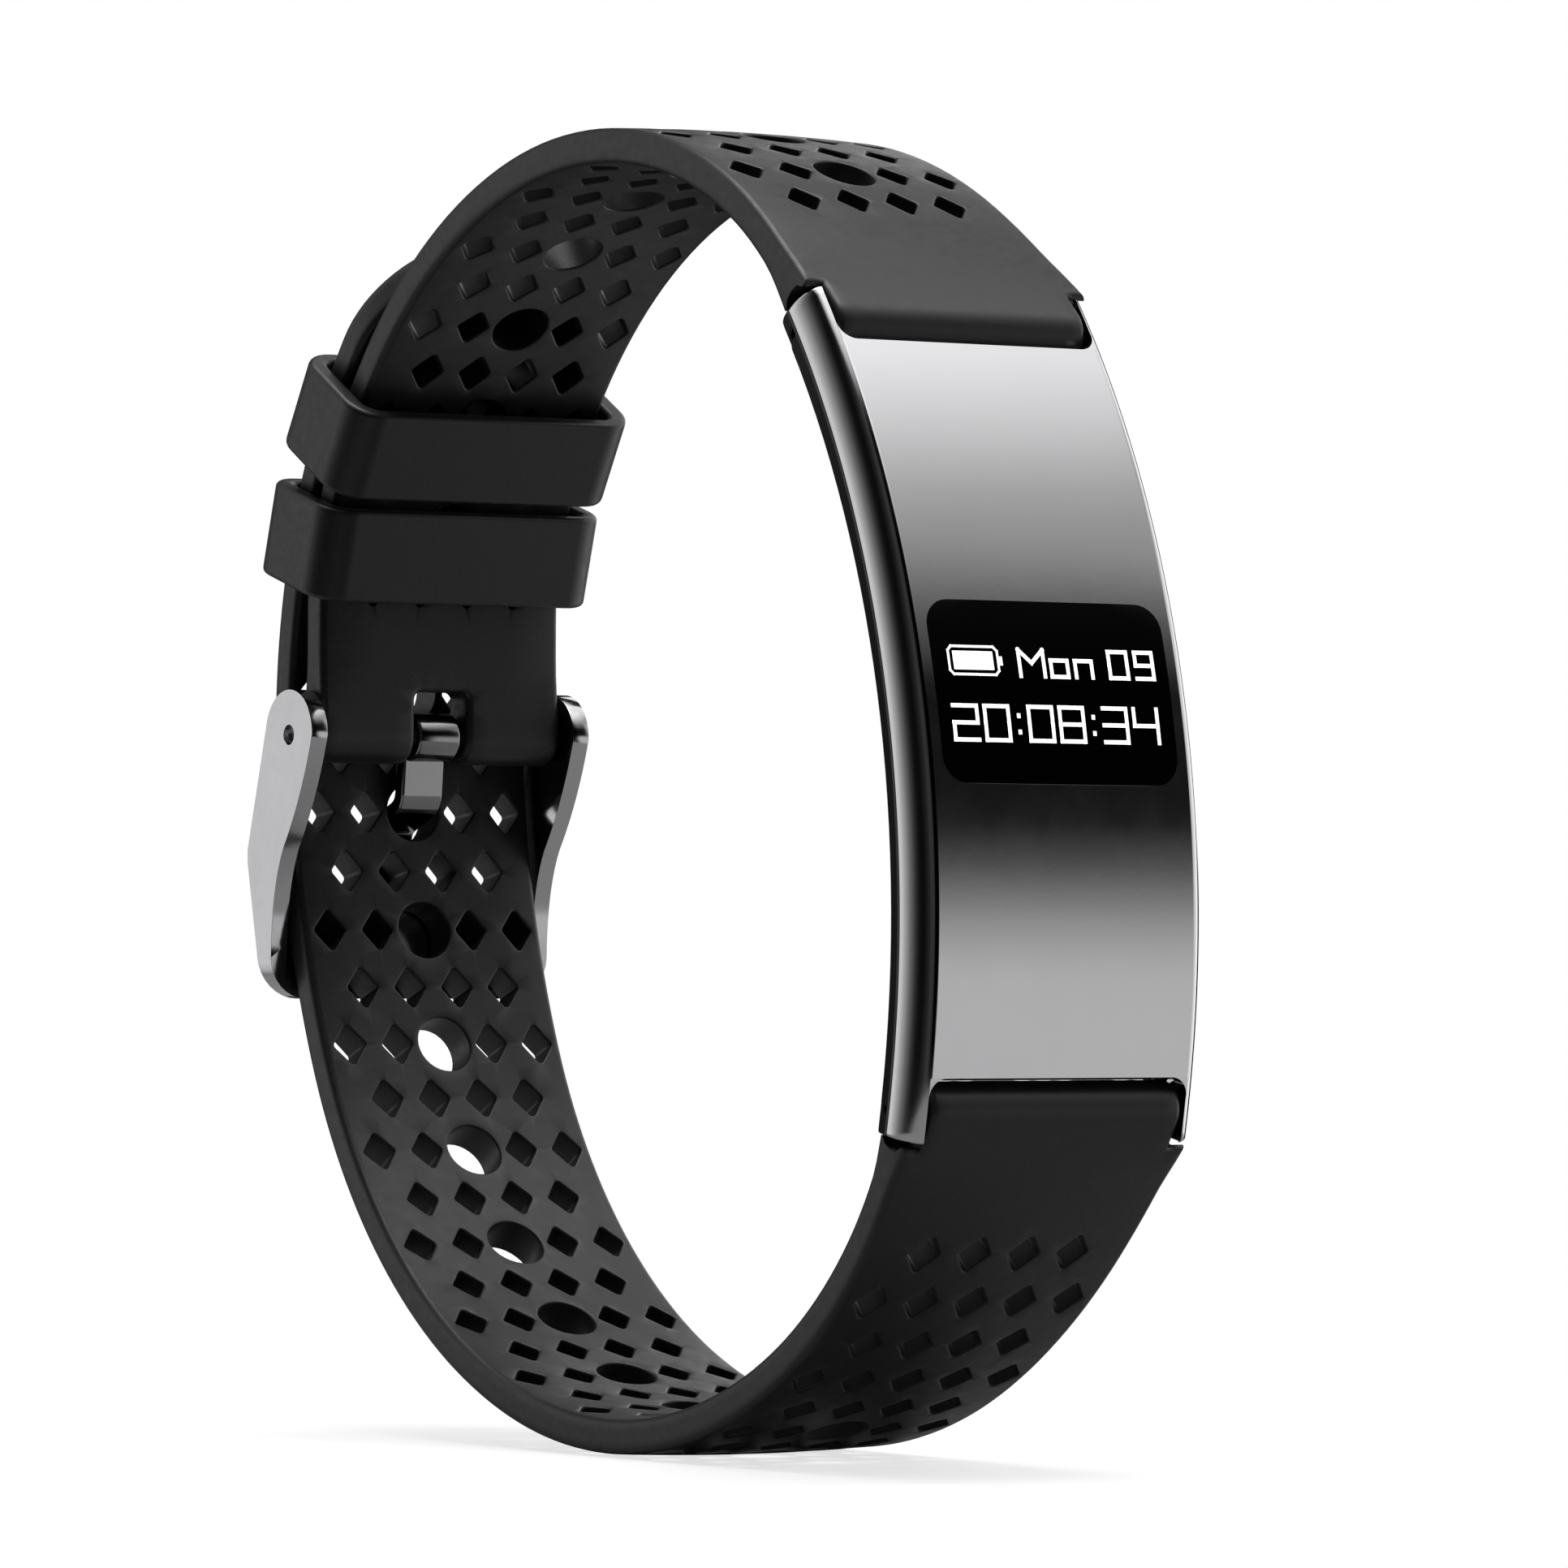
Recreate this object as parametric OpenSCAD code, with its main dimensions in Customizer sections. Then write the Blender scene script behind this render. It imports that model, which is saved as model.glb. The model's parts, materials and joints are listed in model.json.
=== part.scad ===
// Wrist-worn fitness tracker: curved metal-faced body on a buckled, perforated silicone strap.
// Axes: X across the strap, -Y out of the display, +Z up the display. Millimetres.
// The loop is drawn buckled, as worn. Profile arcs are given in the Y-Z plane.

/* [Body] */
// radius of the curved front face
face_r = 56.3; // [50:0.1:65]
// half width of the flat part of the front plate
plate_hw = 8.05; // [7.5:0.05:8.6]
// half width over the side rails
body_hw = 9.2; // [8.8:0.05:9.6]
// depth of the metal rails behind the front face
rail_d = 2.0; // [1.6:0.1:2.6]
// depth of the back cover at its sides
side_d = 3.25; // [2.8:0.05:3.8]
// depth of the back cover over the sensor
back_d = 5.6; // [4.8:0.1:6.5]
// angle of the body's middle above the horizontal
mid_a = 12.2; // [8:0.1:16]
// angle between the two end cut-outs
notch_span = 41.1; // [38:0.1:44]
// half width of the end cut-outs
notch_hw = 8.2; // [8:0.05:8.5]
// metal wall thickness
shell_t = 0.8; // [0.6:0.05:1.2]

/* [Display] */
// half width of the display window
win_hw = 7.5; // [6:0.1:7.7]
// half height of the display window
win_hh = 4.9; // [4:0.1:6]
// corner radius of the display window
win_r = 1.5; // [0.5:0.1:3]

/* [Strap] */
// half width of the parallel part of the strap
strap_hw = 8.0; // [7.5:0.1:9]
// strap thickness at its middle
strap_t = 2.25; // [1.8:0.05:3]
// radius of the barrels that hold the spring bars
barrel_r = 1.5; // [1.3:0.05:1.8]
// half length of the barrels
barrel_hl = 7.95; // [7.5:0.05:8.1]
// distance between rows of perforation along the strap
row_p = 3.55; // [3.2:0.01:4]
// distance between holes across the strap
hole_p = 3.15; // [2.8:0.01:3.4]
// width of a diamond hole
dia_w = 2.1; // [1.6:0.05:2.6]
// length of a diamond hole
dia_l = 2.65; // [2:0.05:3.2]
// radius of a round adjusting hole
adj_r = 1.7; // [1.4:0.05:2]

/* [Buckle] */
// half width over the buckle frame
ear_hw = 9.35; // [9:0.05:10]
// thickness of the buckle ears
ear_t = 1.05; // [0.8:0.05:1.4]
// radius of the ear around its pin
ear_r = 2.6; // [2:0.05:3]
// radius of the buckle pin
pin_r = 0.6; // [0.5:0.01:0.8]
// width of the tongue
tongue_w = 2.8; // [2.4:0.1:3.4]
// thickness of the tongue
tongue_t = 0.9; // [0.8:0.05:1.3]

/* [Keepers] */
// half width of a keeper
keep_hw = 9.4; // [9.2:0.05:10.2]
// length of a keeper along the strap
keep_l = 5.4; // [4:0.05:6]
// wall thickness of a keeper
keep_t = 0.95; // [0.8:0.05:1.5]
// outer corner radius of a keeper
keep_cr = 2.0; // [1:0.1:3]

/* [Hidden] */
$fn = 32;
// centre of the bounding box in the profile plane
oy = 8.225;
oz = 1.65;
// body axis and end angles
T = [30.3, -5.5];
a_lo = mid_a - notch_span / 2;
a_hi = mid_a + notch_span / 2;
// lower strap arcs
A = [5.9, -0.2];
A_ri = 32.2;
A_end = -23.6;
B = A - (50.9 - A_ri) * [cos(A_end), sin(A_end)];
B_ri = 50.9;
D_ri = 35.44;
tail_ri = 29.68;
L0_r = 50;
L0_a = 221.5;
L0 = A + (A_ri + strap_t - L0_r) * [cos(L0_a), sin(L0_a)];
bar_lo_a = 211.6;
bar_lo = L0 + (L0_r - barrel_r) * [cos(bar_lo_a), sin(bar_lo_a)];
// upper strap arcs
C1 = [8.35, 6.95];
C1_ri = 28.75;
C1_end = 41;
C2_ri = 27.3;
C2 = C1 + (C1_ri - C2_ri) * [cos(C1_end), sin(C1_end)];
C2_end = 18;
C3_ri = 12.7;
C3 = C2 + (C2_ri - C3_ri) * [cos(C2_end), sin(C2_end)];
inner_y = C3[0] + C3_ri;
U0_r = 45;
U0_a = 122.5;
U0 = C1 + (C1_ri + strap_t - U0_r) * [cos(U0_a), sin(U0_a)];
bar_up_a = 135.1;
bar_up = U0 + (U0_r - barrel_r) * [cos(bar_up_a), sin(bar_up_a)];
// arc D touches both arc B and the tail's arc about C2
BC = norm(C2 - B);
BD = (pow(B_ri - D_ri, 2) - pow(D_ri - tail_ri, 2) + BC * BC) / (2 * BC);
BH = sqrt(pow(B_ri - D_ri, 2) - BD * BD);
D = B + BD * (C2 - B) / BC + BH * [C2[1] - B[1], B[0] - C2[0]] / BC;
B_end = atan2(D[1] - B[1], D[0] - B[0]);
D_end = atan2(C2[1] - D[1], C2[0] - D[0]);
// the tail's free end stands a little off the short strap
E_a = 36.5;
E_ri = 46;
E = C2 - (E_ri - tail_ri) * [cos(E_a), sin(E_a)];
tip_a = 38;
tail_end = 49;
// buckle
tube_r = 1.57;
pin = [inner_y + tube_r, 5.15];

function dir(a) = [cos(a), sin(a)];

// draws children, made in (y, z, x), in the row frame
module yz() multmatrix([[0, 0, 1, 0], [1, 0, 0, 0], [0, 1, 0, 0], [0, 0, 0, 1]])
    translate([-oy, -oz, 0]) children();
// revolves a (radius, x) section about an axis through c from angle a0 to a1
module band(c, a0, a1, fn = 180) translate([c[0], c[1], 0]) rotate(a0)
    rotate_extrude(angle = a1 - a0, $fn = fn) children();
// round bar along X through point p
module bar(p, r, x0, x1, fn = 32) translate([p[0], p[1], x0]) cylinder(r = r, h = x1 - x0, $fn = fn);
// frame on an arc about c: local X = along the arc, Y = across the strap, Z = outward
module on_arc(c, r, a) translate([c[0], c[1], 0]) rotate(a) translate([r, 0, 0])
    multmatrix([[0, 0, 1, 0], [1, 0, 0, 0], [0, 1, 0, 0], [0, 0, 0, 1]]) children();
// frame on the body at angle a above the horizontal and depth d below the face;
// local X = up the display, Y = across (row -X), Z = outward
module on_body(a, d) translate([T[0], T[1], 0]) rotate(180 - a) translate([face_r - d, 0, 0])
    multmatrix([[0, 0, 1, 0], [-1, 0, 0, 0], [0, -1, 0, 0], [0, 0, 0, 1]]) children();
module box(x, y, z) translate([-x / 2, -y / 2, -z / 2]) cube([x, y, z]);
module rrect(x, y, r) offset(r = r, $fn = 24) square([x - 2 * r, y - 2 * r], center = true);
// the same section revolved over the body's arc; radius counted from the body axis
module body_band(a0, a1, fn = 240) band(T, 180 - a1, 180 - a0, fn) children();

// body sections in (radius, x)
module metal_sec() polygon([for (j = [-1, 1], t = [90:-9:0])
    [face_r - rail_d * (1 - cos(j > 0 ? 90 - t : t)), j * (plate_hw + (body_hw - plate_hw) * sin(j > 0 ? 90 - t : t))]]);
cover_d = 4.6;
cover_top = rail_d + 0.1;
function cover_edge(o) = [for (t = [0:15:90])
    [face_r - 2.3 - (cover_d - 2.3 - o) * pow(sin(t), 0.85), 5 + (body_hw - 0.05 - 5 - o) * pow(cos(t), 0.85)]];
module cover_sec(o, top) polygon(concat(
    [[face_r - top, -(body_hw - 0.05 - o)]], [for (p = cover_edge(o)) [p[0], -p[1]]],
    [for (i = [6:-1:0]) cover_edge(o)[i]], [[face_r - top, body_hw - 0.05 - o]]));
end_a = 2.6;
bar_a_up = atan2(bar_up[1] - T[1], T[0] - bar_up[0]);
bar_a_lo = atan2(bar_lo[1] - T[1], T[0] - bar_lo[0]);
// square-cut rail end with rounded corners around a spring bar
module rail_tip(p) translate([p[0], p[1], -10]) rotate(atan2(p[1] - T[1], p[0] - T[0])) linear_extrude(20)
    rrect(3.9, 3, 0.5);
// full-length body of a section, with lug ends around the spring bars
module body_solid() {
    body_band(bar_a_lo, bar_a_up) children();
    intersection() {
        body_band(bar_a_up - 1, bar_a_up + end_a) children();
        rail_tip(bar_up);
    }
    intersection() {
        body_band(bar_a_lo - end_a, bar_a_lo + 1) children();
        rail_tip(bar_lo);
    }
}
// end cut-outs with rounded inner corners
module notch(a, s) on_body(a, 4) linear_extrude(14, center = true)
    translate([s * 5, 0]) rrect(10, 2 * notch_hw, 1);
module notches() {
    notch(a_hi, 1);
    notch(a_lo, -1);
}
module window(g, h0, h1) intersection() {
    on_body(mid_a, 2) linear_extrude(8, center = true) rrect(2 * (win_hh + g), 2 * (win_hw + g), win_r + g);
    body_band(mid_a - 9, mid_a + 9) translate([face_r - h1, -9]) square([h1 - h0, 18]);
}
boss = [for (i = [-1, 1], j = [-1, 1]) [mid_a + 13.2 * i, 7.05 * j]];

module case_frame() color("#4a4c50") yz() difference() {
    union() {
        difference() {
            body_solid() metal_sec();
            notches();
            body_band(a_lo + 0.85, a_hi - 0.85) translate([face_r - rail_d - 1, -body_hw + shell_t])
                square([rail_d + 1 - shell_t, 2 * (body_hw - shell_t)]);
        }
        for (b = boss) on_body(b[0], 2.9) translate([0, b[1], 0]) cylinder(r = 1, h = 2.3);
    }
    window(0, -1, 1.5);
    for (b = boss) on_body(b[0], 3) translate([0, b[1], 0]) cylinder(r = 0.45, h = 1.6);
    for (p = [bar_up, bar_lo]) {
        bar(p, 0.45, -8.9, -8);
        bar(p, 0.45, 8, 8.9);
    }
}
module display_lens() color("#0a0a0c") yz() window(-0.04, 0, shell_t);
module lens_seal() color("#202022") yz() difference() {
    window(0.5, shell_t, shell_t + 0.15);
    window(-0.9, 0, 2);
}
module display_panel() color("#101418") yz() on_body(mid_a, 1.35) box(7.8, 12.2, 0.7);
module display_flex() color("#b06a20") yz() {
    on_body(mid_a, 1.78) translate([-3.2, 0, 0]) box(1.4, 6, 0.12);
    on_body(mid_a - 4.3, 2.0) box(0.9, 5, 0.12);
}
module main_board() color("#1d5a38") yz() on_body(mid_a - 8.5, 2.9) box(12.5, 11.8, 0.6);
module board_chips() color("#26262a") yz() on_body(mid_a - 8.5, 2.9) {
    translate([-1.5, 1.5, 0.75]) box(5, 5, 0.9);
    translate([4.5, -3, 0.45]) box(2.6, 3, 0.3);
    translate([-5, -3.6, 0.6]) box(2.4, 2, 0.6);
    translate([2, -3.5, -0.55]) box(3, 3, 0.5);
    translate([-2, 3, -0.5]) box(4, 2.6, 0.4);
}
module battery() color("#8a8f96") yz() on_body(mid_a + 8.6, 2.95) rotate([90, 0, 0]) rotate([0, 90, 0])
    linear_extrude(12.4, center = true) rrect(11.4, 1.6, 0.6);
module vibration_motor() color("#b9bcc0") yz() on_body(mid_a + 17.9, 1.75) {
    translate([0, -1, 0]) rotate([90, 0, 0]) cylinder(r = 0.75, h = 8, center = true, $fn = 24);
    translate([0, 3.6, 0]) rotate([90, 0, 0]) cylinder(r = 0.3, h = 1.4, center = true, $fn = 16);
    translate([0, 4.9, 0]) rotate([90, 0, 0]) cylinder(r = 0.7, h = 1.6, center = true, $fn = 24);
}
module antenna() color("#d8d4c4") yz() on_body(mid_a - 18, 1.6) box(1.8, 10, 0.8);
module sensor_board() color("#1d5a38") yz() on_body(mid_a, 4.35) cylinder(r = 4.6, h = 0.3);
module sensor_lights() color("#3f8f4a") yz() on_body(mid_a, 4.35) {
    translate([2.2, 0, -0.35]) box(1.2, 1.2, 0.3);
    translate([-2.2, 0, -0.35]) box(1.2, 1.2, 0.3);
    translate([0, 0, -0.35]) box(1.6, 1.6, 0.3);
}
module sensor_lens() color("#15151a") yz() on_body(mid_a, 5.5) cylinder(r = 4.2, h = 0.6);
module charge_contacts() color("#c9a04a") yz() for (j = [-1, 1]) on_body(mid_a - 10.5, 4.6) translate([0, 2.2 * j, 0]) {
    cylinder(r = 0.9, h = 0.45);
    cylinder(r = 0.5, h = 0.85);
}
// inner lip outline shared by the gasket and the cover
module rim(d0, d1, x0, x1) difference() {
    body_solid() translate([face_r - d1, -x1]) square([d1 - d0, 2 * x1]);
    body_band(a_lo + 1.1, a_hi - 1.1) translate([face_r - d1 - 1, -x0]) square([d1 - d0 + 2, 2 * x0]);
    notches();
}
module body_gasket() color("#161618") yz() difference() {
    rim(rail_d, rail_d + 0.1, 8.45, 9.0);
    for (b = boss) on_body(b[0], 3) translate([0, b[1], 0]) cylinder(r = 1.05, h = 2);
}
module back_cover() color("#0c0c0e") yz() difference() {
    union() {
        difference() {
            body_solid() cover_sec(0, cover_top);
            notches();
            for (s = [-1, 1]) on_body(mid_a + s * notch_span / 2, 3.0) rotate([0, -s * 27, 0])
                translate([0, 0, -3.5]) box(24, 2 * notch_hw, 7);
        }
        on_body(mid_a, 5.5) cylinder(r1 = 6.2, r2 = 7.2, h = 1.2, $fn = 48);
    }
    difference() {
        union() {
            body_band(a_lo + 0.85, a_hi - 0.85) translate([face_r - 2.6, -8.35]) square([1, 16.7]);
            body_band(mid_a - 15.6, mid_a + 15.6) cover_sec(0.75, 1.5);
        }
        for (b = boss) on_body(b[0], 5) translate([0, b[1], 0]) cylinder(r = 1.3, h = 2.05);
    }
    on_body(mid_a, 4.85) cylinder(r = 5, h = 1.6);
    on_body(mid_a, 6) cylinder(r = 4.25, h = 2);
    for (b = boss) on_body(b[0], 6) translate([0, b[1], 0]) {
        cylinder(r = 0.5, h = 4);
        cylinder(r = 0.85, h = 2.4);
    }
    for (j = [-1, 1]) on_body(mid_a - 10.5, 5) translate([0, 2.2 * j, 0]) {
        cylinder(r = 0.92, h = 0.87);
        cylinder(r = 0.52, h = 2);
    }
}
module case_screws() color("#9a9ca0") yz() for (b = boss) on_body(b[0], 4.0) translate([0, b[1], 0]) {
    cylinder(r = 0.8, h = 0.38);
    cylinder(r = 0.42, h = 2.4);
}

// points on an arc, and the angle at which an arc meets the circle of a barrel
function arc(c, r, a0, a1, n) = [for (i = [0:n]) c + r * dir(a0 + (a1 - a0) * i / n)];
function meet(c, r, p) = acos((r * r + pow(norm(p - c), 2) - barrel_r * barrel_r) / (2 * r * norm(p - c)));
function ang(v) = atan2(v[1], v[0]);
// side profile as a slab across the strap
module slab(pts, hw) linear_extrude(2 * hw, center = true) polygon(pts);
// tapering outline near the lugs: u along the arc from the middle of the taper
taper_l = 21;
// angle from the lug arc to the parallel part
flare_a = 34;
function taper_hw(s) = strap_hw + (body_hw - strap_hw) * pow(max(0, min(1, 1 - s / taper_l)), 2);
module taper(c, r, a, dirn, s_mid) on_arc(c, r, a) linear_extrude(16, center = true) polygon(concat(
    [for (i = [-2:18]) [dirn * r * sin((1.8 * i - s_mid) / r * 57.2958), -taper_hw(1.8 * i)]],
    [for (i = [18:-1:-2]) [dirn * r * sin((1.8 * i - s_mid) / r * 57.2958), taper_hw(1.8 * i)]]));

// a row of perforation: k counts from the lug, adj = first row with a round hole
module row_holes(k, adj) {
    n = k % 2 == 0 ? 5 : 4;
    for (i = [0:n - 1]) translate([0, (i - (n - 1) / 2) * hole_p, 0])
        if (n == 5 && i == 2 && k >= adj) cylinder(r = adj_r, h = 9, center = true, $fn = 28);
        else linear_extrude(9, center = true) scale([dia_l / 2, dia_w / 2]) circle(1, $fn = 4);
}
rad = 57.2958;
// places children on the lower strap's middle surface, s from the first row
len_A = (A_end + 360 - L0_a) / rad * (A_ri + strap_t / 2);
len_B = (B_end - A_end) / rad * (B_ri + strap_t / 2);
len_D = (D_end - B_end) / rad * (D_ri + strap_t / 2);
module on_lower(s) {
    if (s < len_A) on_arc(A, A_ri, L0_a + s / (A_ri + strap_t / 2) * rad) children();
    else if (s < len_A + len_B) on_arc(B, B_ri, A_end + (s - len_A) / (B_ri + strap_t / 2) * rad) children();
    else if (s < len_A + len_B + len_D)
        on_arc(D, D_ri, B_end + (s - len_A - len_B) / (D_ri + strap_t / 2) * rad) children();
    else on_arc(C2, tail_ri, D_end + (s - len_A - len_B - len_D) / (tail_ri + strap_t / 2) * rad) children();
}
len_1 = (U0_a - C1_end) / rad * (C1_ri + strap_t / 2);
len_2 = (C1_end - C2_end) / rad * (C2_ri + strap_t / 2);
module on_upper(s) {
    if (s < len_1) on_arc(C1, C1_ri, U0_a - s / (C1_ri + strap_t / 2) * rad) children();
    else if (s < len_1 + len_2) on_arc(C2, C2_ri, C1_end - (s - len_1) / (C2_ri + strap_t / 2) * rad) children();
    else on_arc(C3, C3_ri, C2_end - (s - len_1 - len_2) / (C3_ri + strap_t / 2) * rad) children();
}
// lug end of a strap: thickened web, barrel, and shoulders clear of the rail ends
module lug_shoulder(p) {
    bar(p, 2.45, -10, -barrel_hl, 48);
    bar(p, 2.45, barrel_hl, 10, 48);
}
up_a = U0_a - flare_a;
up_in = ang(bar_up - C1) - meet(C1, C1_ri, bar_up);
up_lug = concat(arc(U0, U0_r, bar_up_a, U0_a, 4), arc(C1, C1_ri + strap_t, U0_a - 2.4, up_a, 12),
    arc(C1, C1_ri, up_a, up_in, 17),
    arc(bar_up, barrel_r, ang(C1 + C1_ri * dir(up_in) - bar_up) - 10, bar_up_a - 350, 18));
tube_a = acos((strap_t - tube_r) / tube_r);
up_rest = concat(arc(C1, C1_ri + strap_t, up_a, C1_end, 16), arc(C2, C2_ri + strap_t, C1_end - 3, C2_end, 7),
    arc(C3, C3_ri + strap_t, C2_end - 3, 0, 5), arc(pin, tube_r, tube_a, -180, 20),
    arc(C3, C3_ri, 0, C2_end, 6), arc(C2, C2_ri, C2_end + 3, C1_end, 7), arc(C1, C1_ri, C1_end + 3, up_a, 15));
module upper_strap() color("#2b2b2d") yz() difference() {
    union() {
        intersection() {
            slab(up_lug, body_hw);
            taper(C1, C1_ri, U0_a - 10, -1, 14);
        }
        slab(up_rest, strap_hw);
    }
    lug_shoulder(bar_up);
    bar(bar_up, 0.76, -9, 9);
    bar(pin, 0.68, -9, 9);
    translate([inner_y - 3, pin[1] - 3, 0]) rotate([90, 0, 90]) linear_extrude(9)
        translate([2.8, 0]) rrect(5.6, tongue_w + 0.53, 0.5);
    for (k = [1:17]) on_upper((k - 1) * row_p) row_holes(k, 2);
}
lo_a = L0_a + flare_a;
A_to = A_end + 360;
lo_in = ang(bar_lo - A) + 360 + meet(A, A_ri, bar_lo);
lo_lug = concat(arc(L0, L0_r, bar_lo_a, L0_a, 4), arc(A, A_ri + strap_t, L0_a + 2.4, lo_a, 12),
    arc(A, A_ri, lo_a, lo_in, 16),
    arc(bar_lo, barrel_r, ang(A + A_ri * dir(lo_in) - bar_lo) + 10, bar_lo_a - 10, 18));
lo_rest = concat(arc(A, A_ri + strap_t, lo_a, A_to, 28), arc(B, B_ri + strap_t, A_end + 2, B_end, 8),
    arc(D, D_ri + strap_t, B_end + 2.6, D_end, 10), arc(C2, tail_ri + strap_t, D_end + 3, E_a, 5),
    arc(E, E_ri + strap_t, E_a + 2.5, tail_end, 5), arc(E, E_ri, tail_end, E_a + 2.5, 5),
    arc(C2, tail_ri, E_a, D_end + 3, 5), arc(D, D_ri, D_end, B_end + 2.6, 10),
    arc(B, B_ri, B_end, A_end + 2, 8), arc(A, A_ri, A_to, lo_a, 28));
module lower_strap() color("#2b2b2d") yz() difference() {
    union() {
        intersection() {
            slab(lo_lug, body_hw);
            taper(A, A_ri, L0_a + 10, 1, 14);
        }
        slab(lo_rest, strap_hw);
    }
    // rounded tail tip
    on_arc(E, E_ri + strap_t, tip_a) linear_extrude(20, center = true) difference() {
        translate([0, -strap_hw - 1]) square([24, 2 * strap_hw + 2]);
        circle(r = strap_hw, $fn = 60);
    }
    lug_shoulder(bar_lo);
    bar(bar_lo, 0.76, -9, 9);
    for (k = [1:32]) on_lower((k - 1) * row_p) row_holes(k, 6);
}
// spring bar hardware
module bar_tube(p) difference() {
    bar(p, 0.75, -7.6, 7.6);
    bar(p, 0.54, -7.1, 7.1, 24);
    bar(p, 0.43, -8, 8, 24);
}
module bar_tip(p, s, x) translate([p[0], p[1], 0]) mirror([0, 0, s < 0 ? 1 : 0]) translate([0, 0, x]) {
    cylinder(r = 0.5, h = 1, $fn = 24);
    cylinder(r = 0.4, h = 2.7, $fn = 24);
}
module bar_spring(p) translate([p[0], p[1], -4.8])
    linear_extrude(9.6, twist = -360 * 7, slices = 70, $fn = 4) translate([0.36, 0]) circle(0.1, $fn = 4);
module upper_bar_tube() color("#9a9ca0") yz() bar_tube(bar_up);
module lower_bar_tube() color("#9a9ca0") yz() bar_tube(bar_lo);
module upper_bar_spring() color("#b9bcc0") yz() bar_spring(bar_up);
module lower_bar_spring() color("#b9bcc0") yz() bar_spring(bar_lo);
module upper_tip_left() color("#c4c6c8") yz() bar_tip(bar_up, -1, 6.08);
module upper_tip_right() color("#c4c6c8") yz() bar_tip(bar_up, 1, 6.08);
module lower_tip_left() color("#c4c6c8") yz() bar_tip(bar_lo, -1, 5.12);
module lower_tip_right() color("#c4c6c8") yz() bar_tip(bar_lo, 1, 5.12);

// buckle
function bez(a, b, c, t) = (1 - t) * (1 - t) * a + 2 * t * (1 - t) * b + t * t * c;
frame_lo = -9.95;
// upper edge of the crossbar
bar_top = -4.9;
module ear_outline() polygon(concat(
    [for (a = [180:-6:12]) pin + ear_r * dir(a)],
    [[42.2, -1.4], [42.2, -2.1], [41.1, -7.3], [40.7, frame_lo], [39.6, frame_lo]],
    [for (i = [0:6]) bez([39.5, -7.6], [39.45, -3.6], [38.15, -1.3], i / 6)],
    [for (i = [1:7]) bez([38.15, -1.3], [36.1, 1.6], pin + [-ear_r, 0], i / 8)]));
module buckle_frame() color("#85878b") yz() difference() {
    intersection() {
        linear_extrude(2 * ear_hw, center = true) ear_outline();
        translate([30, 0, 0]) rotate([90, 0, 90]) linear_extrude(16) difference() {
            translate([(frame_lo + 12) / 2, 0]) rrect(12 - frame_lo, 2 * ear_hw, 2.4);
            translate([(bar_top + 20) / 2, 0]) rrect(20 - bar_top, 2 * (ear_hw - ear_t), 1.5);
        }
    }
    // the crossbar follows the strap and is recessed for the tongue
    bar(B, B_ri + strap_t + 0.12, ear_t - ear_hw, ear_hw - ear_t, 240);
    linear_extrude(tongue_w + 0.5, center = true) polygon([[41.45, 0], [40.76, -9.6], [44, -9.6], [44, 0]]);
    bar(pin, 0.58, -10, 10, 24);
}
module buckle_pin() color("#9a9ca0") yz() {
    bar(pin, pin_r, -8.2, 8.2, 24);
    bar(pin, 0.56, -8.95, 8.95, 24);
}
module tongue() color("#7d7f83") yz() difference() {
    translate([0, 0, -tongue_w / 2]) linear_extrude(tongue_w) {
        translate(pin) circle(1.4, $fn = 32);
        hull() {
            translate([38.4, 4.2]) circle(tongue_t / 2, $fn = 20);
            translate([38.7, 1.25]) circle(tongue_t / 2, $fn = 20);
        }
        hull() {
            translate([38.7, 1.25]) circle(tongue_t / 2, $fn = 20);
            translate([42, -0.11]) circle(tongue_t / 2, $fn = 20);
        }
        hull() {
            translate([42, -0.11]) circle(tongue_t / 2, $fn = 20);
            translate([41.27, -9.5]) circle(tongue_t / 2, $fn = 20);
        }
    }
    bar(pin, pin_r + 0.05, -5, 5, 24);
}
module keeper(a) on_arc(C2, 29.22, a) rotate([0, 90, 0]) linear_extrude(keep_l, center = true) difference() {
    rrect(6 + 2 * keep_t, 2 * keep_hw, keep_cr);
    rrect(6, 2 * (keep_hw - 1.15), 0.8);
}
module upper_keeper() color("#2b2b2d") yz() keeper(30.5);
module lower_keeper() color("#2b2b2d") yz() keeper(16.8);

case_frame();
display_lens();
lens_seal();
display_panel();
display_flex();
main_board();
board_chips();
battery();
vibration_motor();
antenna();
sensor_board();
sensor_lights();
sensor_lens();
charge_contacts();
body_gasket();
back_cover();
case_screws();
upper_strap();
lower_strap();
upper_bar_tube();
lower_bar_tube();
upper_bar_spring();
lower_bar_spring();
upper_tip_left();
upper_tip_right();
lower_tip_left();
lower_tip_right();
buckle_frame();
buckle_pin();
tongue();
upper_keeper();
lower_keeper();
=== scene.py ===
import json
import math

import bmesh
import bpy
import numpy as np
from mathutils import Matrix, Vector
from mathutils.geometry import delaunay_2d_cdt

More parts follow.
